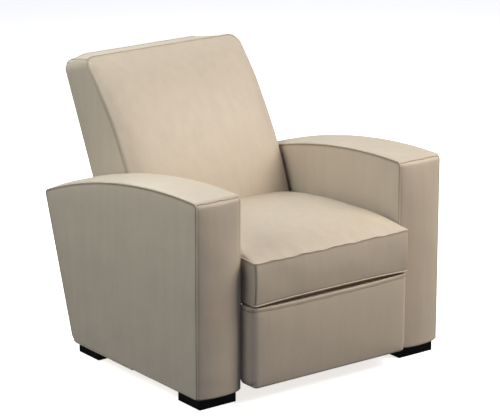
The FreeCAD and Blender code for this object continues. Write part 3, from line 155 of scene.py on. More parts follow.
def ticks(length: float, step: float, crowd: float = 0.72) -> Array:
    """Grid positions from 0 to length, closer together near both ends: t - crowd sin(2 pi t) / (2 pi)."""
    t = np.linspace(0, 1, max(4, round(length / step)) + 1)
    return length * (t - crowd * np.sin(2 * math.pi * t) / (2 * math.pi))


def lattice(axes: tuple[Array, Array, Array]) -> Shell:
    """Closed quad surface of a box lattice.

    Args:
        axes: Grid positions along x, y and z.

    Returns:
        The lattice points that lie on the box's surface, and outward quads between them.
    """
    sizes = [len(a) for a in axes]
    on_shell = np.zeros(sizes, bool)
    on_shell[[0, -1]] = on_shell[:, [0, -1]] = on_shell[:, :, [0, -1]] = True
    number = np.full(sizes, -1)
    cells = np.argwhere(on_shell)
    number[on_shell] = np.arange(len(cells))
    points = np.stack([axes[k][cells[:, k]] for k in range(3)], axis=1)
    quads = []
    for k, last in product(range(3), (False, True)):
        sheet = np.take(number, sizes[k] - 1 if last else 0, axis=k)
        ring = np.stack([sheet[:-1, :-1], sheet[1:, :-1], sheet[1:, 1:], sheet[:-1, 1:]], -1).reshape(-1, 4)
        quads.append(ring if last != (k == 1) else ring[:, ::-1])
    return points, np.concatenate(quads).tolist()


def round_edge(points: Array, axes: tuple[int, int], corner: tuple[float, float],
               side: tuple[int, int], radius: float) -> Array:
    """Rounds one edge of a box: a square of half-size m about the arc's centre becomes a circle of radius m.

    Args:
        points: (n, 3) box coordinates.
        axes: The two axes across the edge.
        corner: The edge's place on those axes.
        side: Which way the edge faces on each axis, 1 or -1.
        radius: Radius of the round.

    Returns:
        The moved points.
    """
    i, j = axes
    over_i = (points[:, i] - corner[0]) * side[0] + radius
    over_j = (points[:, j] - corner[1]) * side[1] + radius
    near = (over_i > 0) & (over_j > 0)
    ratio = np.where(near, np.maximum(over_i, over_j) / np.maximum(np.hypot(over_i, over_j), 1e-9), 1.0)
    out = points.copy()
    out[:, i] = np.where(near, corner[0] + side[0] * (over_i * ratio - radius), points[:, i])
    out[:, j] = np.where(near, corner[1] + side[1] * (over_j * ratio - radius), points[:, j])
    return out


def tube(path: Array, radius: float, up: Spot, sides: int = 8) -> Shell:
    """A circle carried along a path: centre + radius (cos a across + sin a above).

    Args:
        path: (n, 3) centre line.
        radius: Tube radius.
        up: A direction that the path never follows, which sets the frames.
        sides: Points round the circle.

    Returns:
        Points and faces, with a pole at each end.
    """
    ahead, behind = np.roll(path, -1, 0), np.roll(path, 1, 0)
    ahead[-1], behind[0] = path[-1], path[0]
    along = ahead - behind
    along /= np.linalg.norm(along, axis=1)[:, None]
    across = np.cross(along, np.array(up, float))
    across /= np.linalg.norm(across, axis=1)[:, None]
    above = np.cross(across, along)
    angle = np.linspace(0, 2 * math.pi, sides, endpoint=False)
    ring = (np.cos(angle)[None, :, None] * across[:, None, :]
            + np.sin(angle)[None, :, None] * above[:, None, :])
    points = (path[:, None, :] + radius * ring).reshape(-1, 3)
    rows = len(path)
    i, k = np.meshgrid(np.arange(rows - 1), np.arange(sides), indexing="ij")
    a, b = i * sides + k, i * sides + (k + 1) % sides
    c, d = (i + 1) * sides + (k + 1) % sides, (i + 1) * sides + k
    faces = np.stack([a, b, c, d], -1).reshape(-1, 4).tolist()
    points = np.concatenate([points, path[:1], path[-1:]])
    k = np.arange(sides)
    start, end, tail = len(points) - 2, len(points) - 1, (rows - 1) * sides
    faces += np.stack([(k + 1) % sides, k, np.full(sides, start)], 1).tolist()
    faces += np.stack([tail + k, tail + (k + 1) % sides, np.full(sides, end)], 1).tolist()
    return points, faces


def together(shells: list[Shell]) -> Shell:
    """Several shells as one, their face numbers shifted past the points before them.

    Args:
        shells: Points and faces of each.

    Returns:
        Points and faces of all.
    """
    points, faces, shift = [], [], 0
    for some, quads in shells:
        points.append(some)
        faces += [tuple(n + shift for n in quad) for quad in quads]
        shift += len(some)
    return np.concatenate(points), faces


def resample(path: Array, step: float) -> Array:
    """The same line with points at even distances, linear between its own points.

    Args:
        path: (n, 3) points.
        step: Distance that the new points are near to.

    Returns:
        The new points, at least four.
    """
    gaps = np.r_[0.0, np.cumsum(np.linalg.norm(np.diff(path, axis=0), axis=1))]
    even = np.linspace(0, gaps[-1], max(3, round(gaps[-1] / step)) + 1)
    return np.stack([np.interp(even, gaps, path[:, k]) for k in range(3)], axis=1)


def straight(*corners: Spot) -> Array:
    """Points along straight runs between corners, one line step apart."""
    return resample(np.array(corners, float), LINE_STEP)


# ---------------------------------------------------------------- shader arithmetic


class Value:
    """A shader socket that takes part in Python arithmetic; each operation adds its Math node."""

    def __init__(self, graph: "Graph", socket: bpy.types.NodeSocket) -> None:
        """Keeps the graph and the socket."""
        self.graph, self.socket = graph, socket

    def _math(self, operation: str, *others: "Value | float") -> "Value":
        """One Math node on these inputs, in order."""
        inputs = dict(enumerate(others))
        return self.graph.value("ShaderNodeMath", {"operation": operation}, inputs)

    def __add__(self, other: "Value | float") -> "Value":
        """self + other."""
        return self._math("ADD", self, other)

    __radd__ = __add__

    def __sub__(self, other: "Value | float") -> "Value":
        """self - other."""
        return self._math("SUBTRACT", self, other)

    def __rsub__(self, other: float) -> "Value":
        """other - self."""
        return self._math("SUBTRACT", other, self)

    def __mul__(self, other: "Value | float") -> "Value":
        """self times other."""
        return self._math("MULTIPLY", self, other)

    __rmul__ = __mul__

    def wave(self) -> "Value":
        """Sine of self in radians."""
        return self._math("SINE", self)

    def spread(self, low: float, high: float, to_low: float = 0.0, to_high: float = 1.0) -> "Value":
        """Smooth map of one range onto another, held at the ends.

        Args:
            low: Start of the range of self.
            high: Its end.
            to_low: What the start becomes.
            to_high: What the end becomes.

        Returns:
            The mapped value.
        """
        inputs = {"Value": self, "From Min": low, "From Max": high, "To Min": to_low, "To Max": to_high}
        settings = {"interpolation_type": "SMOOTHSTEP", "clamp": True}
        return self.graph.value("ShaderNodeMapRange", settings, inputs)


@dataclass
class Graph:
    """The node tree of one material, with one method that adds any node."""

    tree: bpy.types.NodeTree

    def node(self, kind: str, settings: dict[str, object] | None = None,
             inputs: dict[str | int, object] | None = None) -> bpy.types.Node:
        """Adds a node.

        Args:
            kind: Blender's name of the node type.
            settings: Its own settings, set first.
            inputs: Values or links of its sockets, by name or number.

        Returns:
            The node.
        """
        made = self.tree.nodes.new(kind)
        for name, value in (settings or {}).items():
            setattr(made, name, value)
        for name, value in (inputs or {}).items():
            self.feed(made.inputs[name], value)
        return made

    def feed(self, socket: bpy.types.NodeSocket, value: object) -> None:
        """Links a socket to another, or sets its value.

        Args:
            socket: The input.
            value: A Value or socket to link, a colour, or what the socket takes as it is.
        """
        if isinstance(value, Value):
            self.tree.links.new(value.socket, socket)
        elif isinstance(value, bpy.types.NodeSocket):
            self.tree.links.new(value, socket)
        elif isinstance(value, tuple) and socket.type == "RGBA":
            socket.default_value = (*value, 1.0)
        else:
            socket.default_value = value

    def value(self, kind: str, settings: dict[str, object] | None = None,
              inputs: dict[str | int, object] | None = None, output: str | int = 0) -> Value:
        """Adds a node and gives one of its outputs as a Value."""
        return Value(self, self.node(kind, settings, inputs).outputs[output])

    def place(self, stretch: Spot = (1, 1, 1)) -> bpy.types.NodeSocket:
        """Object coordinates in metres, stretched by a Mapping node."""
        spot = self.node("ShaderNodeTexCoord").outputs["Object"]
        return self.node("ShaderNodeMapping", None, {"Vector": spot, "Scale": stretch}).outputs[0]

    def noise(self, scale: float, detail: float = 3.0, stretch: Spot = (1, 1, 1),
              rough: float = 0.5) -> Value:
        """Noise texture, about 0 to 1 round 0.5, with features of 1 / scale metres."""
        inputs = {"Vector": self.place(stretch), "Scale": scale, "Detail": detail, "Roughness": rough}
        return self.value("ShaderNodeTexNoise", None, inputs)

    def cells(self, scale: float) -> Value:
        """Distance to the middle of smoothed Voronoi cells of 1 / scale metres."""
        inputs = {"Vector": self.place(), "Scale": scale}
        return self.value("ShaderNodeTexVoronoi", {"feature": "SMOOTH_F1"}, inputs, "Distance")

    def mark(self, name: str) -> Value:
        """A number that a piece stores on its points, 0 where it has none."""
        return self.value("ShaderNodeAttribute", {"attribute_name": name}, None, "Fac")

    def mix(self, share: Value, first: object, second: object) -> bpy.types.NodeSocket:
        """Colours mixed by a share; a Mix node's colours are its inputs 6 and 7 and its output 2."""
        settings = {"data_type": "RGBA", "blend_type": "MIX", "clamp_factor": True}
        return self.node("ShaderNodeMix", settings, {0: share, 6: first, 7: second}).outputs[2]

    def bump(self, height: Value, depth: float, strength: float = 1.0,
             below: bpy.types.NodeSocket | None = None) -> bpy.types.NodeSocket:
        """Normal bent by a height.

        Args:
            height: The height, 0 to 1.
            depth: Metres that a height of 1 stands for.
            strength: Share of the bend.
            below: Another bump's normal that this one lies on.

        Returns:
            The Normal output.
        """
        inputs: dict[str | int, object] = {"Height": height, "Distance": depth, "Strength": strength}
        if below is not None:
            inputs["Normal"] = below
        return self.node("ShaderNodeBump", None, inputs).outputs[0]


# ---------------------------------------------------------------- finishes


@dataclass(frozen=True)
class Finish:
    """A procedural finish; subclasses say what varies over the surface."""

    name: str
    colour: Colour
    roughness: float = 0.5
    metallic: float = 0.0
    fixed: tuple[tuple[str, float | Colour], ...] = ()

    def tinted(self, *shares: float) -> Colour:
        """The colour times one share, or times one share a channel."""
        return tuple(c * k for c, k in zip(self.colour, shares * 3))

    def varying(self, graph: Graph) -> dict[str, object]:
        """Sockets that vary over the surface; a plain finish has a little tone and gloss noise.

        Args:
            graph: The material's nodes.

        Returns:
            Values or links by socket name.
        """
        tone = graph.noise(9.0).spread(0.3, 0.7)
        dark = self.tinted(0.86)
        return {"Base Color": graph.mix(tone, dark, self.colour),
                "Roughness": graph.noise(60.0).spread(0.3, 0.7, self.roughness - 0.06, self.roughness + 0.06)}

    def material(self) -> bpy.types.Material:
        """Makes the material, once.

        Returns:
            The Blender material.
        """
        known = bpy.data.materials.get(self.name)
        if known is not None:
            return known
        made = bpy.data.materials.new(self.name)
        made.use_nodes = True
        made.node_tree.nodes.clear()
        graph = Graph(made.node_tree)
        inputs = {"Metallic": self.metallic, **dict(self.fixed), **self.varying(graph)}
        shader = graph.node("ShaderNodeBsdfPrincipled", None, inputs)
        graph.node("ShaderNodeOutputMaterial", None, {"Surface": shader.outputs[0]})
        return made


@dataclass(frozen=True)
class Leather(Finish):
    """Cream leather: fine pebble grain, soft clouds of tone, faint streaks, and painted shade beside seams
    and welts.
    """

    # how dark the painted shade beside seams and welts makes the leather
    crease_shade_tone: float = 0.52
    grain: float = 620.0

    def varying(self, graph: Graph) -> dict[str, object]:
        """Tone from clouds, streaks and painted crease shade, roughness from grain, bump from pebbles, pores
        and slow creases.

        Args:
            graph: The material's nodes.

        Returns:
            Values or links by socket name.
        """
        crease_shade = graph.mark("crease_shade")
        clouds = graph.noise(7.0, 3.0).spread(0.25, 0.75)
        streaks = graph.noise(34.0, 4.0, (1.0, 1.0, 0.12)).spread(0.3, 0.7)
        light = self.tinted(1.03)
        dark = self.tinted(0.955)
        worn = self.tinted(1.0, 0.965, 0.92)
        # dark tone for the pebble grain and for the painted shade beside seams and welts
        deep = tuple(c * self.crease_shade_tone for c in self.tinted(1.0, 0.9, 0.8))
        tone = graph.mix(clouds * 0.4 + streaks * 0.6, dark, light)
        tone = graph.mix(graph.noise(3.2, 2.0).spread(0.5, 0.78) * 0.25, tone, worn)
        pebbles = graph.cells(self.grain)
        tone = graph.mix(pebbles.spread(0.35, 0.75) * 0.10, tone, deep)
        # painted shade: the mark stored on the points darkens the tone beside seams and welts
        tone = graph.mix(crease_shade, tone, deep)
        rough = self.roughness + (graph.noise(18.0, 3.0) - 0.5) * 0.16 + crease_shade * 0.2 + (pebbles - 0.4) * 0.08
        folds = graph.noise(95.0, 4.0, (1.0, 1.0, 0.7), 0.55)
        normal = graph.bump(folds, 0.0011, 0.5)
        normal = graph.bump(1.0 - pebbles, 0.0003, 0.5, normal)
        normal = graph.bump(graph.noise(self.grain * 2.4, 2.0), 0.00012, 0.5, normal)
        return {"Base Color": tone, "Roughness": rough, "Normal": normal}


@dataclass(frozen=True)
class Floor(Finish):
    """Pale matt floor, almost even."""

    def varying(self, graph: Graph) -> dict[str, object]:
        """A hundredth of tone over metres."""
        dark = self.tinted(0.985)
        return {"Base Color": graph.mix(graph.noise(0.7), dark, self.colour), "Roughness": self.roughness}


@dataclass(frozen=True)
class Wood(Finish):
    """Bare wood: rings drawn out along the boards, with pores."""

    rings: float = 90.0
    stretch: Spot = (1.0, 0.08, 1.0)

    def varying(self, graph: Graph) -> dict[str, object]:
        """Bands of early and late wood bent by noise, fine pores in colour and bump.

        Args:
            graph: The material's nodes.

        Returns:
            Values or links by socket name.
        """
        bend = graph.noise(6.0, 3.0, self.stretch)
        bands = ((graph.noise(14.0, 2.0, self.stretch) + bend * 0.5) * self.rings * 0.35).wave() * 0.5 + 0.5
        pores = graph.noise(900.0, 2.0, self.stretch).spread(0.45, 0.7)
        late = self.tinted(0.74, 0.66, 0.56)
        tone = graph.mix(bands * 0.55, self.colour, late)
        tone = graph.mix(pores * 0.25, tone, late)
        return {"Base Color": tone, "Roughness": self.roughness + bands * 0.12,
                "Normal": graph.bump(pores + bands * 0.3, 0.00025, 0.4)}


@dataclass(frozen=True)
class Metal(Finish):
    """Coated, plated or drawn steel: fine speckle, drawn streaks and handling wear."""

    speckle: float = 700.0
    depth: float = 0.00015
    worn: Colour = (0.3, 0.3, 0.3)

    def varying(self, graph: Graph) -> dict[str, object]:
        """Tone and roughness from speckle and slow clouds, bump from speckle.

        Args:
            graph: The material's nodes.

        Returns:
            Values or links by socket name.
        """
        speckle = graph.noise(self.speckle, 2.0)
        clouds = graph.noise(14.0, 4.0).spread(0.35, 0.75)
        scuffs = graph.noise(55.0, 6.0, (1.0, 0.25, 1.0), 0.7).spread(0.62, 0.8)
        dark = self.tinted(0.8)
        tone = graph.mix(clouds, dark, self.colour)
        tone = graph.mix(scuffs * 0.3, tone, self.worn)
        rough = self.roughness + (clouds - 0.5) * 0.14 + (speckle - 0.5) * 0.12
        return {"Base Color": tone, "Roughness": rough, "Normal": graph.bump(speckle, self.depth, 0.5)}


@dataclass(frozen=True)
class Weave(Finish):
    """Cloth or webbing: crossed threads."""

    threads: float = 2600.0

    def varying(self, graph: Graph) -> dict[str, object]:
        """Height of warp and weft: the product of two sine waves across x and across y and z.

        Args:
            graph: The material's nodes.

        Returns:
            Values or links by socket name.
        """
        spot = graph.node("ShaderNodeSeparateXYZ", None, {"Vector": graph.place()})
        across = (Value(graph, spot.outputs[0]) * self.threads).wave()
        along = ((Value(graph, spot.outputs[1]) + Value(graph, spot.outputs[2])) * self.threads).wave()
        threads = across * along * 0.5 + 0.5
        dark = self.tinted(0.55)
        return {"Base Color": graph.mix(threads * 0.7 + graph.noise(40.0) * 0.3, dark, self.colour),
                "Roughness": self.roughness + threads * 0.05,
                "Normal": graph.bump(threads, 0.0004, 0.6)}


LEATHER = Leather("cream_leather_cover", (0.62, 0.53, 0.42), 0.47,
                  fixed=(("Sheen Weight", 0.12), ("Specular IOR Level", 0.42)))
PIPING = Leather("cream_leather_welt", (0.64, 0.545, 0.43), 0.43, fixed=(("Specular IOR Level", 0.45),))
BROWN_PIPING = Leather("rose_brown_welt", (0.48, 0.375, 0.295), 0.45, fixed=(("Specular IOR Level", 0.45),))
# colour of the thin dark tubes that paint a shade line in seam grooves and beside welts
SEAM_SHADE = Leather("seam_shadow_thread", (0.30, 0.235, 0.175), 0.6)
BLOCK = Metal("black_lacquered_block", (0.006, 0.0055, 0.005), 0.34, speckle=420.0, depth=0.0001,
              worn=(0.02, 0.018, 0.016))
FINISHES: dict[Slot, Finish] = {
    Slot.LEATHER: LEATHER,
    Slot.PLYWOOD: Wood("birch_plywood_panel", (0.56, 0.40, 0.24), 0.55, rings=60.0),
    Slot.PINE: Wood("planed_pine", (0.60, 0.41, 0.22), 0.52, rings=110.0),
    Slot.BLOCK: BLOCK,
    Slot.BLACK_STEEL: Metal("black_powder_coat", (0.022, 0.022, 0.024), 0.48, speckle=1100.0, depth=0.0003,
                            worn=(0.06, 0.06, 0.062)),
    Slot.ZINC: Metal("zinc_plate", (0.58, 0.58, 0.56), 0.34, metallic=1.0, worn=(0.42, 0.41, 0.38)),
    Slot.WIRE: Metal("oiled_spring_wire", (0.30, 0.30, 0.31), 0.30, metallic=1.0, worn=(0.16, 0.14, 0.12)),
    Slot.CLOTH: Weave("grey_deck_cloth", (0.13, 0.125, 0.12), 0.85),
    Slot.NYLON: Finish("white_nylon_bush", (0.74, 0.73, 0.69), 0.42),
}


# ---------------------------------------------------------------- pieces


def to_mesh(name: str, shell: Shell, finish: Finish, crease_shade: Array | None = None,
            subdivide: bool = False) -> bpy.types.Object:
    """Makes a smooth mesh object at the origin.

    Args:
        name: Name of the piece.
        shell: Its points in the row frame, and faces.
        finish: Its finish.
        crease_shade: Share of painted shade at each point beside seams and welts, 0 to 1.
        subdivide: Whether one level of subdivision smooths it.

    Returns:
        The object.
    """
    points, faces = shell
    mesh = bpy.data.meshes.new(name)
    mesh.from_pydata(points.tolist(), [], faces)
    mesh.polygons.foreach_set("use_smooth", np.ones(len(mesh.polygons), bool))
    # painted shade beside seams and welts, stored on the points for the leather
    mark = mesh.attributes.new("crease_shade", "FLOAT", "POINT")
    mark.data.foreach_set("value", np.zeros(len(points), np.float32) if crease_shade is None
                          else crease_shade.astype(np.float32))
    mesh.materials.append(finish.material())
    mesh.update()
    made = bpy.data.objects.new(name, mesh)
    bpy.context.scene.collection.objects.link(made)
    if subdivide:
        smooth = made.modifiers.new("smooth", "SUBSURF")
        smooth.levels = smooth.render_levels = 1
    return made


@dataclass(frozen=True)
class Stuffing:
    """Cloth simulation that blows a cover up between its held seams."""

    pressure: float = 4.0
    slack: float = 0.02
    cap: float = 0.024
    share: float = 1.0
    frames: int = 20
    grip: float = 4.0  # stiffness of held points
    rounds: int = 6  # solver rounds a frame
    mass: float = 0.35
    drag: float = 2.0
    stretch: float = 22.0
    shear: float = 8.0
    bend: float = 1.2

    def fill(self, shell: Shell, held: Array) -> Shell:
        """Simulates the cover and gives its filled shape.

        Args:
            shell: The cover, a little smaller than its final shape.
            held: For each point, whether a seam or board holds it.

        Returns:
            The same faces on moved points; no point moves further than the cap.
        """
        points, faces = shell
        mesh = bpy.data.meshes.new("filling")
        mesh.from_pydata(points.tolist(), [], faces)
        trial = bpy.data.objects.new("filling", mesh)
        bpy.context.scene.collection.objects.link(trial)
        group = trial.vertex_groups.new(name="held")
        group.add(np.flatnonzero(held).tolist(), 1.0, "REPLACE")
        cloth = trial.modifiers.new("cloth", "CLOTH")
        rules = cloth.settings
        rules.vertex_group_mass = group.name
        rules.pin_stiffness = self.grip
        rules.use_pressure, rules.uniform_pressure_force = True, self.pressure
        rules.effector_weights.gravity = 0.0
        rules.quality, rules.mass, rules.air_damping = self.rounds, self.mass, self.drag
        rules.tension_stiffness = rules.compression_stiffness = self.stretch
        rules.shear_stiffness, rules.bending_stiffness = self.shear, self.bend
        rules.shrink_min = -self.slack
        cloth.collision_settings.use_collision = cloth.collision_settings.use_self_collision = False
        cloth.point_cache.frame_start, cloth.point_cache.frame_end = 1, self.frames
        for number in range(1, self.frames + 1):
            bpy.context.scene.frame_set(number)
        filled = trial.evaluated_get(bpy.context.evaluated_depsgraph_get())
        after = np.empty(len(points) * 3)
        filled.data.vertices.foreach_get("co", after)
        move = after.reshape(-1, 3) - points
        reach = np.linalg.norm(move, axis=1)
        log.info("filled: mean move %.4f, most %.4f", reach[~held].mean(), reach.max())
        move *= (np.minimum(reach, self.cap) / np.maximum(reach, 1e-9))[:, None] * self.share
        bpy.data.objects.remove(trial)
        bpy.data.meshes.remove(mesh)
        bpy.context.scene.frame_set(1)
        return points + move, faces


@dataclass(frozen=True)
class Wave:
    """Slow unevenness of stuffing: smooth noise of one scale, times a height."""

    scale: float
    seed: int
    height: float

    def at(self, points: Array) -> Array:
        """Height of the wave at row-frame points."""
        return soft_noise(points, self.scale, self.seed) * self.height


@dataclass
class CoveredForm:
    """An upholstered block: a box lattice carried by a volume map, with welts and seams on its edges.

    Box coordinates run x from -half to half, y from 0 at the front, z from 0 at the bottom.
    """

    half: float
    length: float
    height: float
    step: float = 0.009
    edge: float = 0.0045
    waves: tuple[Wave, ...] = ()

    def ripple(self, points: Array) -> Array:
        """Sum of the form's waves at row-frame points."""
        return sum(wave.at(points) for wave in self.waves)

    def round_pair(self, points: Array, axis: int, place: float, side: int, radius: float) -> Array:
        """Rounds a box edge and its mirror image across x.

        Args:
            points: (n, 3) box coordinates.
            axis: The other axis across the edges, 1 or 2.
            place: The edges' place on that axis.
            side: Which way they face on it, 1 or -1.
            radius: Radius of the rounds.

        Returns:
            The moved points.
        """
        for s in (-1, 1):
            points = round_edge(points, (0, axis), (s * self.half, place), (s, side), radius)
        return points

    def profile_rounds(self, points: Array) -> Array:
        """Larger rounds of this form's outline; none in a plain block."""
        return points

    def real(self, box: Array, points: Array) -> Array:
        """Carries rounded box points to the row frame."""
        raise NotImplementedError

    def shape(self, box: Array) -> Array:
        """Full map: the four upright and four side-to-side edges of each flank get small rounds, then the
        form's own map follows.

        Args:
            box: (n, 3) box coordinates.

        Returns:
            Points in the row frame.
        """
        points = box
        for axis, place, side in ((1, 0.0, -1), (1, self.length, 1), (2, 0.0, -1), (2, self.height, 1)):
            points = self.round_pair(points, axis, place, side, self.edge)
        return self.real(box, self.profile_rounds(points))

    def edge_line(self, *corners: Spot) -> Array:
        """Straight runs between box points, carried to the row frame."""
        return resample(self.shape(straight(*corners)), LINE_STEP)

    def shell(self) -> tuple[Array, Shell]:
        """Lattice of the block, shaped.

        Returns:
            Its box points, and the closed surface in the row frame.
        """
        axes = (ticks(2 * self.half, self.step) - self.half, ticks(self.length, self.step),
                ticks(self.height, self.step))
        box, quads = lattice(axes)
        return box, (self.shape(box), quads)

    def from_edges(self, box: Array) -> Array:
        """Distance of surface points to the nearest box edge: the second smallest distance to a face."""
        gaps = np.stack([self.half - np.abs(box[:, 0]), np.minimum(box[:, 1], self.length - box[:, 1]),
                         np.minimum(box[:, 2], self.height - box[:, 2])], axis=1)
        return np.sort(gaps, axis=1)[:, 1]


@dataclass
class Arm(CoveredForm):
    """Box arm: arched top, leaning rear edge, front face bowed in plan, welts round both side panels."""

    half: float = 0.0745
    length: float = 0.775
    height: float = 0.5713
    side: Side = Side.LEFT
    middle: float = 0.363
    sole: float = 0.0325
    foot_depth: float = 0.636
    arch_radius: float = 1.93
    arch_crest: tuple[float, float] = (0.055, 0.6068)
    shoulder: float = 0.015
    heel: float = 0.025
    toe: float = 0.006
    tail: float = 0.012
    bow: float = 0.013
    panel_puff: float = 0.0035
    inner_puff: float = 0.0012
    front_puff: float = 0.0028
    rear_puff: float = 0.003
    top_puff: float = 0.003
    top_crown: float = 0.006
    pucker: float = 0.0006
    pucker_pitch: float = 0.041
    tuck: float = 0.010  # how fast leather rises behind a seam
    front_reach: float = 0.08
    reach: float = 0.05  # how deep the rear and the top puff
    welt: float = 0.0025
    # radius and inset of the dark tubes that paint a shade line just inside each welt
    shade_line: float = 0.0010
    shade_line_gap: float = 0.0042
    # radius of the dark tube that paints shade along the shoulder seam
    seam: float = 0.0011
    sway: tuple[float, float] = (0.0014, 0.0008)  # slow and fast, of the shoulder seam

    def __post_init__(self) -> None:
        """Each side has its own slow wave."""
        self.waves = (Wave(0.085, 3 + self.side.value, 0.0011), Wave(0.034, 8, 0.0004))

    def profile_rounds(self, points: Array) -> Array:
        """Shoulder, heel and the two smaller corners of the side view.

        Args:
            points: (n, 3) box coordinates.

        Returns:
            The rounded points.
        """
        for corner, side, radius in (((0.0, self.height), (-1, 1), self.shoulder),
                                     ((self.length, 0.0), (1, -1), self.heel),
                                     ((0.0, 0.0), (-1, -1), self.toe),
                                     ((self.length, self.height), (1, 1), self.tail)):
            points = round_edge(points, (1, 2), corner, side, radius)
        return points

    def arch(self, depth: Array) -> Array:
        """Height of the top at a depth: a circle of the arch's radius about a centre below its crest."""
        y, z = self.arch_crest
        return z - self.arch_radius + np.sqrt(self.arch_radius**2 - (depth - y) ** 2)

    def real(self, box: Array, points: Array) -> Array:
        """Depth shrinks to the leaning rear edge, height follows the arch, and faces puff between seams.

        Args:
            box: Box coordinates as on the lattice.
            points: The same points after the edges' rounds.

        Returns:
            Points in the row frame.
        """
        x, v, w = points[:, 0], points[:, 1] / self.length, points[:, 2] / self.height
        out = np.stack([x, v * (self.foot_depth + (self.length - self.foot_depth) * w),
                        self.sole + w * (self.arch(v * self.length) - self.sole)], axis=1)
        from_front, from_rear = box[:, 1], self.length - box[:, 1]
        from_top, across = self.height - box[:, 2], np.abs(box[:, 0]) / self.half
        from_side, ripple = self.half * (1 - across), self.ripple(out)
        side_wall = rise(from_front, self.tuck) * rise(from_rear, self.tuck) * rise(from_top, 0.011)
        puff = np.where(box[:, 0] < 0, self.inner_puff, self.panel_puff)
        push = (puff + ripple) * side_wall * across**24
        out[:, 0] += np.sign(box[:, 0]) * push
        bow = self.bow * (1 - across**2) * (1 - w**7)
        front = bow + (self.front_puff + ripple) * rise(from_side, 0.008) * rise(from_top, self.tuck)
        out[:, 1] -= front * close(from_front, self.front_reach)
        rear = (self.rear_puff + ripple) * rise(from_side, self.tuck) * rise(from_top, self.tuck)
        out[:, 1] += rear * close(from_rear, self.reach)
        phase = box[:, 1] * 2 * math.pi / self.pucker_pitch + 2 * np.sin(box[:, 1] * 23)
        pucker = self.pucker * np.sin(phase)
        top = self.top_puff + ripple + pucker * np.exp(-box[:, 1] / 0.12) * across**2
        top = top * rise(from_side, self.tuck) * rise(from_front, 0.012) * rise(from_rear, 0.012)
        top += self.top_crown * (1 - across**2.5) * fade(0.02, 0.45, from_front) * rise(from_rear, 0.015)
        out[:, 2] += top * close(from_top, self.reach)
        out[:, 0] = self.side.value * (self.middle + out[:, 0])
        out[:, 1] += ROW_FRONT
        return out

    def welt_path(self, edge: int, inset: float = 0.0) -> Array:
        """Front, arch and rear of one side panel (edge 1 or -1), at an inset from its edge."""
        x, h, l, d = edge * self.half, self.height, self.length, inset
        return self.edge_line((x, d, 0.004 + d), (x, d, h - d), (x, l - d, h - d), (x, l - d, d),
                              (x, l * 0.5, d))

    def build(self) -> None:
        """Cover, welts, and dark tubes that paint shade beside the welts and along the seam over the
        shoulder; all ride the base.
        """
        box, (points, quads) = self.shell()
        if self.side is Side.RIGHT:
            quads = [quad[::-1] for quad in quads]
        gap = self.from_edges(box)
        on_side = np.abs(box[:, 0]) > self.half - 1e-6
        below_top = self.height - box[:, 2]
        # painted shade: darker along every edge, in a line under the top welt on the side panels, and beside
        # the front welt
        crease_shade = np.maximum(0.45 * bell(gap, 0.0035), 0.9 * on_side * bell(below_top - 0.003, 0.0045))
        crease_shade = np.maximum(crease_shade, 0.8 * on_side * bell(box[:, 1], 0.0045))
        cover = to_mesh(f"{self.side.word}_arm_leather", (points, quads), LEATHER, crease_shade, True)
        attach(cover, "base")
        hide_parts(f"{self.side.word}_arm_cover")
        welts = together([tube(self.welt_path(edge), self.welt, (1, 0, 0)) for edge in (-1, 1)])
        piping = to_mesh(f"{self.side.word}_arm_welts", welts, PIPING)
        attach(piping, "base")
        # painted shade: a dark tube just inside each welt on the side panels
        lines = together([tube(self.welt_path(edge, self.shade_line_gap), self.shade_line, (1, 0, 0), SEAM_SIDES)
                          for edge in (-1, 1)])
        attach(to_mesh(f"{self.side.word}_arm_welt_shade_lines", lines, SEAM_SHADE), "base")
        x = np.linspace(-self.half + 0.004, self.half - 0.004, 60)
        sway = self.sway[0] * np.sin(x * 95 + self.side.value) + self.sway[1] * np.sin(x * 210)
        line = self.shape(np.stack([x, np.maximum(-sway, 0), self.height - np.maximum(sway, 0)], axis=1))
        # painted shade: a dark tube along the groove of the shoulder seam
        shade_tube = tube(line, self.seam, (0, 0.7, 0.7), SEAM_SIDES)
        seam = to_mesh(f"{self.side.word}_arm_shoulder_seam_shade", shade_tube, SEAM_SHADE)
        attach(seam, "base")


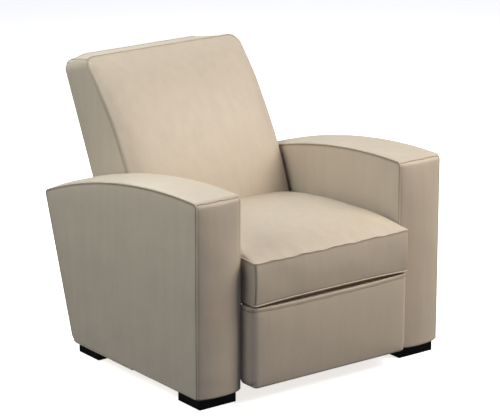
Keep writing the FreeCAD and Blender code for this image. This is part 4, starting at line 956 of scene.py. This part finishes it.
@dataclass
class SeatCushion(CoveredForm):
    """Loose crowned cushion with a boxing between an upper and a lower welt."""

    half: float = 0.278
    length: float = 0.575
    height: float = 0.1197
    waves: tuple[Wave, ...] = (Wave(0.09, 21, 0.0012), Wave(0.04, 22, 0.0004))
    front: float = -0.054
    base: float = 0.2979
    nose: float = 0.008
    deck: float = 0.554  # depth over which the top falls
    fall: float = 0.020
    crown: float = 0.0476
    crown_rise: float = 0.211
    crown_rear: float = 0.292
    fall_power: float = 1.3
    side_powers: tuple[float, float] = (2.48, 0.274)
    rise_power: float = 2.75
    rear_power: float = 4.4
    sag: float = 0.005
    sway: tuple[float, float] = (0.0013, 0.0008)  # slow and fast, of the front's upper edge
    face: float = 0.05  # depth that counts as the front
    face_puff: float = 0.004
    waist: float = 0.005
    welt: float = 0.0024
    seam: float = 0.0012
    seam_end: float = 0.006
    stuffing: Stuffing = Stuffing(1.5, 0.003, 0.024, 0.8)

    def crease_shade(self, box: Array, gap: Array) -> Array:
        """Painted shade beside the two welts, darkest under the upper one, and none on the upright corners.

        Args:
            box: Box coordinates.
            gap: Distance of each point to the nearest box edge.

        Returns:
            Share of painted shade, 0 to 1.
        """
        level = np.minimum(box[:, 2], self.height - box[:, 2])
        beside = bell(level, 0.0042) * (gap > 1e-6) * (box[:, 2] < self.height - 1e-6)
        return np.maximum(0.75 * beside, 0.35 * bell(gap, 0.003) * (level < 0.02))

    def profile_rounds(self, points: Array) -> Array:
        """Front corners in plan."""
        return self.round_pair(points, 1, 0.0, -1, self.nose)

    def real(self, box: Array, points: Array) -> Array:
        """Top falls to the rear by a power of the depth; the crown rises from the front, falls to the rear
        and rolls off at the sides, each by a power.

        Args:
            box: Box coordinates as on the lattice.
            points: The same points after the edges' rounds.

        Returns:
            Points in the row frame.
        """
        x, y, w = points[:, 0], points[:, 1], points[:, 2] / self.height
        depth = self.front + y
        fall = self.fall * np.clip(y / self.deck, 0, None) ** self.fall_power
        flat, roll = self.side_powers
        across = np.clip(1 - np.abs(x / self.half) ** flat, 0, 1) ** roll
        along = 1 - np.clip(1 - y / self.crown_rise, 0, 1) ** self.rise_power
        kept = 1 - (1 - self.crown_rear) * np.clip(y / self.deck, 0, 1) ** self.rear_power
        crown = self.crown * across * along * kept
        sag = self.sag * np.abs(x / self.half) ** 3
        low = self.base - sag * (1 - w)
        top = self.base + self.height - fall
        out = np.stack([x, depth, low + w * (top - low) + crown * w**30], axis=1)
        between = 4 * w * (1 - w)
        ripple = self.ripple(out)
        is_front = close(box[:, 1], self.face)
        out[:, 1] -= (self.face_puff + 2.0 * ripple) * between**0.6 * is_front
        is_side = (np.abs(box[:, 0]) / self.half) ** 20
        out[:, 0] -= np.sign(x) * (self.waist * between * fade(0.0, 0.12, y)) * is_side
        out[:, 2] += ripple * w**30 * rise(self.half - np.abs(x), 0.02) * rise(y, 0.02)
        sway = self.sway[0] * np.sin(x * 52 + 0.6) + self.sway[1] * np.sin(x * 117 + 2)
        out[:, 2] += sway * w**12 * np.exp(-y / 0.03) * (1 - np.abs(x / self.half) ** 6)
        out[:, 1] += ROW_FRONT
        return out

    def welt_path(self, z: float) -> Array:
        """Front edge from one side's rear to the other's, at a height on the boxing."""
        x, y = self.half, self.length * 0.9
        return self.edge_line((-x, y, z), (-x, 0.0, z), (x, 0.0, z), (x, y, z))

    def build(self) -> None:
        """Cushion, two welts, and dark tubes that paint shade along the upright seams at the front corners.
        """
        box, shell = self.shell()
        gap = self.from_edges(box)
        held = (gap < 0.004) | (box[:, 2] < self.height - 0.002)
        shell = self.stuffing.fill(shell, held)
        crease_shade = self.crease_shade(box, gap)
        cover = to_mesh("seat_cushion_leather", shell, LEATHER, crease_shade, True)
        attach(cover, "base")
        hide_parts("seat_cushion")
        welts = [tube(self.welt_path(z), self.welt, (0, 0, 1)) for z in (0.0, self.height)]
        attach(to_mesh("seat_cushion_welts", together(welts), PIPING), "base")
        # painted shade: dark tubes along the upright corner seams
        lines = []
        for s in (-1, 1):
            z = np.linspace(self.seam_end, self.height - self.seam_end, 30)
            x = s * (self.half + 0 * z)
            lines.append(tube(self.shape(np.stack([x, 0 * z, z], axis=1)), self.seam, (1, 0, 0), SEAM_SIDES))
        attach(to_mesh("seat_cushion_corner_seam_shades", together(lines), SEAM_SHADE), "base")


@dataclass
class FootrestPad(CoveredForm):
    """Footrest's padded front with rounded upright edges and a border seam under its top edge."""

    half: float = 0.2845
    length: float = 0.060
    height: float = 0.2357
    waves: tuple[Wave, ...] = (Wave(0.10, 31, 0.0012),)
    front: float = -0.0514
    base: float = 0.0450
    upright_round: float = 0.024
    low_round: float = 0.024
    toe_round: float = 0.008
    face: float = 0.03  # depth that counts as the front
    lift: float = 0.006
    puff: float = 0.004
    border: float = 0.010
    border_dip: float = 0.0016
    seam: float = 0.0011
    stuffing: Stuffing = Stuffing(0.5, 0.0, 0.012, 0.6)

    def profile_rounds(self, points: Array) -> Array:
        """Upright front edges in plan, and the lower corners in the front view.

        Args:
            points: (n, 3) box coordinates.

        Returns:
            The rounded points.
        """
        points = self.round_pair(points, 1, 0.0, -1, self.upright_round)
        points = self.round_pair(points, 2, 0.0, -1, self.low_round)
        return round_edge(points, (1, 2), (0.0, 0.0), (-1, -1), self.toe_round)

    def real(self, box: Array, points: Array) -> Array:
        """Ends of the top edge rise to the cushion; the face puffs between its edges and under the seam.

        Args:
            box: Box coordinates as on the lattice.
            points: The same points after the edges' rounds.

        Returns:
            Points in the row frame.
        """
        x, y, z = points.T
        w = box[:, 2] / self.height
        lift = self.lift * np.abs(x / self.half) ** 3 * w**2
        out = np.stack([x, self.front + y, self.base + z + lift], axis=1)
        is_front = close(box[:, 1], self.face)
        under = np.abs(self.height - self.border - box[:, 2])
        puff = rise(self.half - np.abs(box[:, 0]), 0.02) * rise(box[:, 2], 0.02)
        puff = puff * rise(self.height - box[:, 2], 0.01)
        out[:, 1] -= (self.puff + self.ripple(out)) * puff * is_front
        out[:, 1] += self.border_dip * bell(under, 0.003) * is_front
        out[:, 1] += ROW_FRONT
        return out

    def build(self) -> None:
        """Pad, and a dark tube that paints shade along its border seam; both ride the footrest."""
        box, shell = self.shell()
        under = np.abs(self.height - self.border - box[:, 2])
        on_front = box[:, 1] < self.face
        # painted shade along the border seam on the front
        crease_shade = 0.5 * bell(under, 0.004) * on_front
        held = (self.from_edges(box) < 0.004) | (box[:, 1] > self.face) | (under < 0.004)
        shell = self.stuffing.fill(shell, held)
        cover = to_mesh("footrest_leather", shell, LEATHER, crease_shade, True)
        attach(cover, "footrest")
        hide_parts("footrest_pad")
        z = self.height - self.border
        line = straight((-self.half, self.length * 0.9, z), (-self.half, 0, z), (self.half, 0, z),
                        (self.half, self.length * 0.9, z))
        line[:, 2] += 0.0007 * np.sin(line[:, 0] * 70)
        # painted shade: a dark tube in the border seam's groove
        shade_tube = tube(resample(self.shape(line), LINE_STEP), self.seam, (0, 0, 1), SEAM_SIDES)
        seam = to_mesh("footrest_border_seam_shade", shade_tube, SEAM_SHADE)
        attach(seam, "footrest")


@dataclass
class Backrest(CoveredForm):
    """Leaning back: swollen front panel, boxing between a front and a rear welt, flat rear."""

    half: float = 0.280
    length: float = 0.150
    height: float = 0.620
    step: float = 0.0095
    waves: tuple[Wave, ...] = (Wave(0.11, 41, 0.0016), Wave(0.045, 42, 0.0005))
    hinge: tuple[float, float] = (0.600, 0.262)
    lean: float = 25.0
    foot: float = 0.016
    welt_top: float = 0.610
    rear_top: float = 0.641
    rear_plane: float = 0.0455
    face_radius: float = 1.200
    face_middle: float = 0.209
    face_plane: float = 0.139
    corner: float = 0.035
    swell: float = 0.038
    low_swell: float = 0.55
    mid_swell: float = 1.8
    top_roll: tuple[float, float] = (0.11, 1.8)  # width and power
    shoulder: float = 0.125
    panel: float = 0.03  # depth that counts as the front or the rear
    rear_drop: float = 0.010
    drop_range: tuple[float, float] = (0.195, 0.248)
    flare: float = 0.010
    flare_range: tuple[float, float] = (0.38, 0.50)
    rear_puff: float = 0.004
    top_puff: float = 0.003
    side_puff: float = 0.002
    front_welt: float = 0.0022
    rear_welt: float = 0.0020
    seam: float = 0.0010
    seam_end: float = 0.005
    seam_inset: tuple[float, float] = (0.009, 0.016)  # at the front, and how much more at the rear
    stuffing: Stuffing = Stuffing(1.5, 0.003, 0.024, 0.8)

    def profile_rounds(self, points: Array) -> Array:
        """The two top corners of the front view."""
        return self.round_pair(points, 2, self.height, 1, self.corner)

    def welt_plane(self, t: Array) -> Array:
        """Where the front welt lies across the lean at height t: an arc of the face's radius."""
        return self.face_radius - np.sqrt(self.face_radius**2 - (t - self.face_middle) ** 2) - self.face_plane

    def real(self, box: Array, points: Array) -> Array:
        """Leaning frame: n across, t up the lean; the panel swells by a share of its height and width, the
        rear's top corners drop, and the front flares a little above the arms.

        Args:
            box: Box coordinates as on the lattice.
            points: The same points after the edges' rounds.

        Returns:
            Points in the row frame.
        """
        x, v, w = points[:, 0], points[:, 1] / self.length, points[:, 2] / self.height
        t = self.foot + w * (self.welt_top + (self.rear_top - self.welt_top) * v - self.foot)
        front = self.welt_plane(t)
        n = front + v * (self.rear_plane - front)
        t = t - self.rear_drop * v * fade(*self.drop_range, np.abs(x))
        x = x * (1 + self.flare * (1 - v) * fade(*self.flare_range, t))
        s = box[:, 2] / self.height
        across = np.abs(box[:, 0]) / self.half
        is_front = close(box[:, 1], self.panel)
        is_rear = close(self.length - box[:, 1], self.panel)
        from_top, from_side = self.height - box[:, 2], self.half * (1 - across)
        height_share = (self.low_swell + self.mid_swell * s * (1 - s)) * plump(from_top, *self.top_roll)
        swell = self.swell * height_share * (0.88 * plump(from_side, self.shoulder) + 0.12 * (1 - across**2))
        ripple = self.ripple(np.stack([x, n, t], axis=1))
        n = n - (swell + ripple * rise(from_side, 0.02) * rise(from_top, 0.02)) * is_front
        n = n + (self.rear_puff + ripple) * is_rear * rise(from_side, 0.02) * rise(from_top, 0.02)
        boxing = 4 * v * (1 - v)
        t = t + (self.top_puff + ripple) * boxing * np.clip(1 - from_top / self.panel, 0, 1)
        x = x + np.sign(x) * (self.side_puff + ripple) * boxing * across**24
        a = math.radians(self.lean)
        y0, z0 = self.hinge
        return np.stack([x, ROW_FRONT + y0 + n * math.cos(a) + t * math.sin(a),
                         z0 - n * math.sin(a) + t * math.cos(a)], axis=1)

    def welt_path(self, y: float) -> Array:
        """Up one side, over the top and down the other, at a depth on the boxing."""
        x, h = self.half, self.height
        return self.edge_line((-x, y, 0.01), (-x, y, h), (x, y, h), (x, y, 0.01))

    def build(self) -> None:
        """Back cushion, welts, and dark tubes that paint shade along the seams where side boxing meets top
        boxing; all ride the back.
        """
        box, shell = self.shell()
        gap = self.from_edges(box)
        held = (gap < 0.004) | (box[:, 1] > 0.002)
        shell = self.stuffing.fill(shell, held)
        # painted shade along every edge, beside the welts
        crease_shade = 0.55 * bell(gap, 0.0035)
        cover = to_mesh("backrest_leather", shell, LEATHER, crease_shade, True)
        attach(cover, "back")
        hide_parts("back_cover", "back_pad")
        a = math.radians(self.lean)
        across = (0, math.cos(a), -math.sin(a))
        front = tube(self.welt_path(0.0), self.front_welt, across)
        rear = tube(self.welt_path(self.length), self.rear_welt, across)
        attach(to_mesh("backrest_front_welt", front, BROWN_PIPING), "back")
        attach(to_mesh("backrest_rear_welt", rear, BROWN_PIPING), "back")
        # painted shade: dark tubes along the seams where side boxing meets top boxing
        lines = []
        for s in (-1, 1):
            y = np.linspace(self.seam_end, self.length - self.seam_end, 40)
            x = s * (self.half - self.seam_inset[0] - self.seam_inset[1] * y / self.length)
            spot = np.stack([x, y, 0 * y + self.height], axis=1)
            lines.append(tube(self.shape(spot), self.seam, (1, 0, 0), SEAM_SIDES))
        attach(to_mesh("backrest_corner_seam_shades", together(lines), SEAM_SHADE), "back")


@dataclass
class RearPanel(CoveredForm):
    """Leather panel that closes the rear between the arms; its sizes come from its CAD node."""

    half: float = field(init=False)
    length: float = field(init=False)
    height: float = field(init=False)
    edge: float = 0.004
    waves: tuple[Wave, ...] = (Wave(0.09, 51, 0.25),)
    puff: float = 0.004
    slope: float = 0.141 / 0.4257
    wall: float = 0.008

    def __post_init__(self) -> None:
        """Reads the node's box."""
        self.low, self.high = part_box("rear_panel_cover")
        self.half, self.height = self.high.x, self.high.z - self.low.z
        self.length = self.wall

    def real(self, box: Array, points: Array) -> Array:
        """A leaning slab that puffs to the rear between its edges.

        Args:
            box: Box coordinates as on the lattice.
            points: The same points after the edges' rounds.

        Returns:
            Points in the row frame.
        """
        x, y, z = points.T
        rear = self.high.y - (self.height - z) * self.slope
        is_rear = box[:, 1] / self.length
        puff = self.puff * rise(self.half - np.abs(box[:, 0]), 0.02)
        puff = puff * rise(box[:, 2], 0.015) * rise(self.height - box[:, 2], 0.015)
        ripple = 1 + self.ripple(points)
        return np.stack([x, rear - (self.length - y) + puff * ripple * is_rear, self.low.z + z], axis=1)

    def build(self) -> None:
        """Panel; rides the base."""
        box, shell = self.shell()
        # painted shade along every edge
        crease_shade = 0.5 * bell(self.from_edges(box), 0.003)
        cover = to_mesh("rear_panel_leather", shell, LEATHER, crease_shade, True)
        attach(cover, "base")
        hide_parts("rear_panel_cover")


@dataclass
class Feet:
    """Four lacquered blocks with eased edges, where the CAD blocks stand."""

    inner: float = 0.300
    outer: float = 0.427
    depths: tuple[tuple[float, float], ...] = ((0.004, 0.110), (0.517, 0.621))
    tall: float = 0.0325
    grid: float = 0.008
    ease: float = 0.0022

    def build(self) -> None:
        """Blocks as box lattices with rounded edges."""
        shells = []
        for side, (near, far) in product(Side, self.depths):
            block = FootBlock(half=(self.outer - self.inner) / 2, length=far - near, height=self.tall,
                              step=self.grid, edge=self.ease,
                              place=(side.value * (self.inner + self.outer) / 2, near))
            shells.append(block.shell()[1])
        feet = to_mesh("block_feet", together(shells), BLOCK)
        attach(feet, "base")
        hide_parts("feet")


@dataclass
class FootBlock(CoveredForm):
    """One block foot, at a place on the floor."""

    place: tuple[float, float] = (0.0, 0.0)

    def profile_rounds(self, points: Array) -> Array:
        """Eases the edges that run across x.

        Args:
            points: (n, 3) box coordinates.

        Returns:
            The rounded points.
        """
        for y, sy in ((0.0, -1), (self.length, 1)):
            points = round_edge(points, (1, 2), (y, 0.0), (sy, -1), self.edge)
        return points

    def real(self, box: Array, points: Array) -> Array:
        """Moves the block to its place."""
        return points + np.array([self.place[0], self.place[1] + ROW_FRONT, 0.0])


@dataclass
class FootrestSprings:
    """Two close-wound extension springs from the cross tube to the levers on the drive tube."""

    off_centre: float = 0.2
    coil: float = 0.0085
    wire: float = 0.0013
    turns: int = 34
    turn_points: int = 14
    hook: float = 0.028

    def spring(self, x: float, near: Vector, far: Vector) -> Array:
        """Centre line: a straight hook wire, a helix whose radius swells at its ends, and the other hook.

        Args:
            x: The spring's place across the seat.
            near: Front lower corner of the CAD springs' box.
            far: Rear upper corner.

        Returns:
            The line's points in the row frame.
        """
        middle_z = (near.z + far.z) / 2
        start, end = near.y + self.hook * 2.2, far.y - self.hook
        u = np.linspace(0, 1, self.turns * self.turn_points)
        angle = 2 * math.pi * self.turns * u
        radius = self.coil * np.minimum(1, np.minimum(u, 1 - u) * self.turns / 1.5)
        helix = np.stack([x + radius * np.cos(angle), start + (end - start) * u,
                          middle_z + radius * np.sin(angle)], axis=1)
        lead = straight((x, near.y + 0.004, middle_z), (x, start - 0.001, middle_z))
        tail = straight((x, end + 0.001, middle_z), (x, far.y - 0.002, middle_z))
        return np.concatenate([lead, helix, tail])

    def build(self) -> None:
        """Springs, baked in the row frame where the CAD springs lie, between the base and the drive near the
        lever's hole.
        """
        low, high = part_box("footrest_springs")
        shells = [tube(self.spring(s * self.off_centre, low, high), self.wire, (0, 1, 0.001), SEAM_SIDES)
                  for s in (-1, 1)]
        springs = to_mesh("footrest_coil_springs", together(shells), FINISHES[Slot.WIRE])
        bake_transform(springs)
        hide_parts("footrest_springs")


@dataclass
class Mechanism:
    """Frame, linkage and hardware as the CAD has them, each with its finish."""

    def build(self) -> None:
        """Gives every CAD node that still shows the finish of its slot."""
        slots = {part["node"]: Slot(part["material_slot"]) for part in frame["record"]["subparts"]}
        for name, node in frame["nodes"].items():
            if not node.hide_render:
                node.data.materials.clear()
                node.data.materials.append(FINISHES[slots[name]].material())


@dataclass(frozen=True)
class SoftBox:
    """A square area light that faces the seat."""

    name: str
    place: Spot
    size: float
    power: Colour
    aim: Spot = (0.0, 0.0, 0.4)

    def build(self) -> None:
        """Adds the lamp; its power is the largest channel and its colour the shares of that."""
        data = bpy.data.lights.new(self.name, "AREA")
        most = max(self.power)
        data.shape, data.size, data.energy = "SQUARE", self.size, most
        data.color = tuple(p / most for p in self.power)
        lamp = bpy.data.objects.new(self.name, data)
        lamp.location = self.place
        lamp.rotation_euler = (Vector(self.aim) - Vector(self.place)).to_track_quat("-Z", "Y").to_euler()
        bpy.context.scene.collection.objects.link(lamp)


@dataclass
class Studio:
    """Pale floor, soft lights and the photograph's camera."""

    azimuth: float = -36.713
    elevation: float = 16.624
    roll: float = 0.075
    distance: float = 7.7073
    target: Spot = (0.0, -0.07974, 0.43414)
    focal_pixels: float = 2610.72
    image: tuple[int, int] = (500, 420)
    principal: tuple[float, float] = (248.40, 208.57)
    sensor: float = 36.0
    floor_reach: float = 20.0
    floor_cells: int = 8
    floor_finish: Floor = Floor("pale_floor", (0.90, 0.90, 0.895), 0.8,
                                fixed=(("Emission Color", (1.0, 0.965, 0.925)), ("Emission Strength", 0.80)))
    backdrop: Colour = (1.0, 1.0, 1.0)
    below_range: tuple[float, float] = (-0.35, 0.0)
    top_range: tuple[float, float] = (0.05, 0.7)
    sky: tuple[Colour, Colour, Colour] = ((0.0, 0.044, 0.163), (0.3, 0.31, 0.325), (0.03, 0.03, 0.035))
    lights: tuple[SoftBox, ...] = (
        SoftBox("key_soft_box", (1.5, -2.0, 2.5), 1.7, (78.7, 70.7, 59.3)),
        SoftBox("left_fill", (-2.2, 0.1, 2.1), 1.5, (33.0, 33.8, 30.6)),
        SoftBox("right_soft_box", (3.2, -1.0, 2.2), 2.2, (26.0, 27.0, 28.0)),
        SoftBox("rear_soft_box", (0.3, 2.4, 2.8), 2.0, (60.9, 62.8, 54.9)),
    )

    def camera(self) -> None:
        """Camera on a sphere round the target, with the lens and shift of the fitted view."""
        a, e, r = (math.radians(x) for x in (self.azimuth, self.elevation, self.roll))
        right = Vector((math.cos(a), math.sin(a), 0))
        back = Vector((math.sin(a) * math.cos(e), -math.cos(a) * math.cos(e), math.sin(e)))
        up = back.cross(right)
        turn = Matrix((right, up, back)).transposed() @ Matrix.Rotation(r, 3, "Z")
        data = bpy.data.cameras.new("studio_camera")
        wide, tall = self.image
        data.sensor_width, data.lens = self.sensor, self.focal_pixels * self.sensor / wide
        data.shift_x = (wide / 2 - self.principal[0]) / wide
        data.shift_y = (self.principal[1] - tall / 2) / wide
        data.clip_start, data.clip_end = 0.1, 100.0
        camera = bpy.data.objects.new("studio_camera", data)
        camera.matrix_world = Matrix.Translation(Vector(self.target) + back * self.distance) @ turn.to_4x4()
        bpy.context.scene.collection.objects.link(camera)
        bpy.context.scene.camera = camera

    def floor(self) -> None:
        """A pale sheet of 40 metres that takes shadows and throws no light up on the seat."""
        row = self.floor_cells + 1
        t = np.linspace(-self.floor_reach, self.floor_reach, row)
        x, y = np.meshgrid(t, t, indexing="ij")
        points = np.stack([x.ravel(), y.ravel(), 0 * x.ravel()], axis=1)
        i, k = np.meshgrid(np.arange(self.floor_cells), np.arange(self.floor_cells), indexing="ij")
        near = i * row + k
        quads = np.stack([near, near + row, near + row + 1, near + 1], -1).reshape(-1, 4)
        mesh = bpy.data.meshes.new("studio_floor")
        mesh.from_pydata(points.tolist(), [], quads.tolist())
        mesh.materials.append(self.floor_finish.material())
        floor = bpy.data.objects.new("studio_floor", mesh)
        floor.visible_diffuse = floor.visible_glossy = False
        bpy.context.scene.collection.objects.link(floor)

    def world(self) -> None:
        """Sky whose light goes from below through the horizon to the top by the height of a direction; what
        shows behind the seat is the plain backdrop."""
        world = bpy.data.worlds.new("studio_world")
        bpy.context.scene.world = world
        world.use_nodes = True
        world.node_tree.nodes.clear()
        graph = Graph(world.node_tree)
        spot = graph.node("ShaderNodeTexCoord").outputs["Generated"]
        height = graph.value("ShaderNodeSeparateXYZ", None, {"Vector": spot}, 2)
        top, horizon, below = self.sky
        tone = graph.mix(height.spread(*self.below_range), below, horizon)
        tone = graph.mix(height.spread(*self.top_range), tone, top)
        seen = graph.value("ShaderNodeLightPath", None, None, "Is Camera Ray")
        tone = graph.mix(seen, tone, self.backdrop)
        shader = graph.node("ShaderNodeBackground", None, {"Color": tone, "Strength": 1.0})
        graph.node("ShaderNodeOutputWorld", None, {"Surface": shader.outputs[0]})

    def build(self) -> None:
        """Camera, floor, lights, world and the plain colour transform."""
        self.camera()
        self.floor()
        for lamp in self.lights:
            lamp.build()
        self.world()
        bpy.context.scene.view_settings.view_transform = "Standard"
        bpy.context.scene.view_settings.look = "None"


def corners(box: tuple[Vector, Vector]) -> list[list[float]]:
    """Two corners as plain lists."""
    return [list(box[0]), list(box[1])]


def main() -> None:
    """Builds the studio and every piece in order."""
    logging.basicConfig(level=logging.INFO, format="%(message)s")
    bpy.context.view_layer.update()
    steps = (Studio(), Arm(side=Side.LEFT), Arm(side=Side.RIGHT), SeatCushion(), FootrestPad(), Backrest(),
             RearPanel(), Feet(), FootrestSprings(), Mechanism())
    for step in steps:
        step.build()
        log.info("built %s", type(step).__name__)


if __name__ == "__main__":
    main()
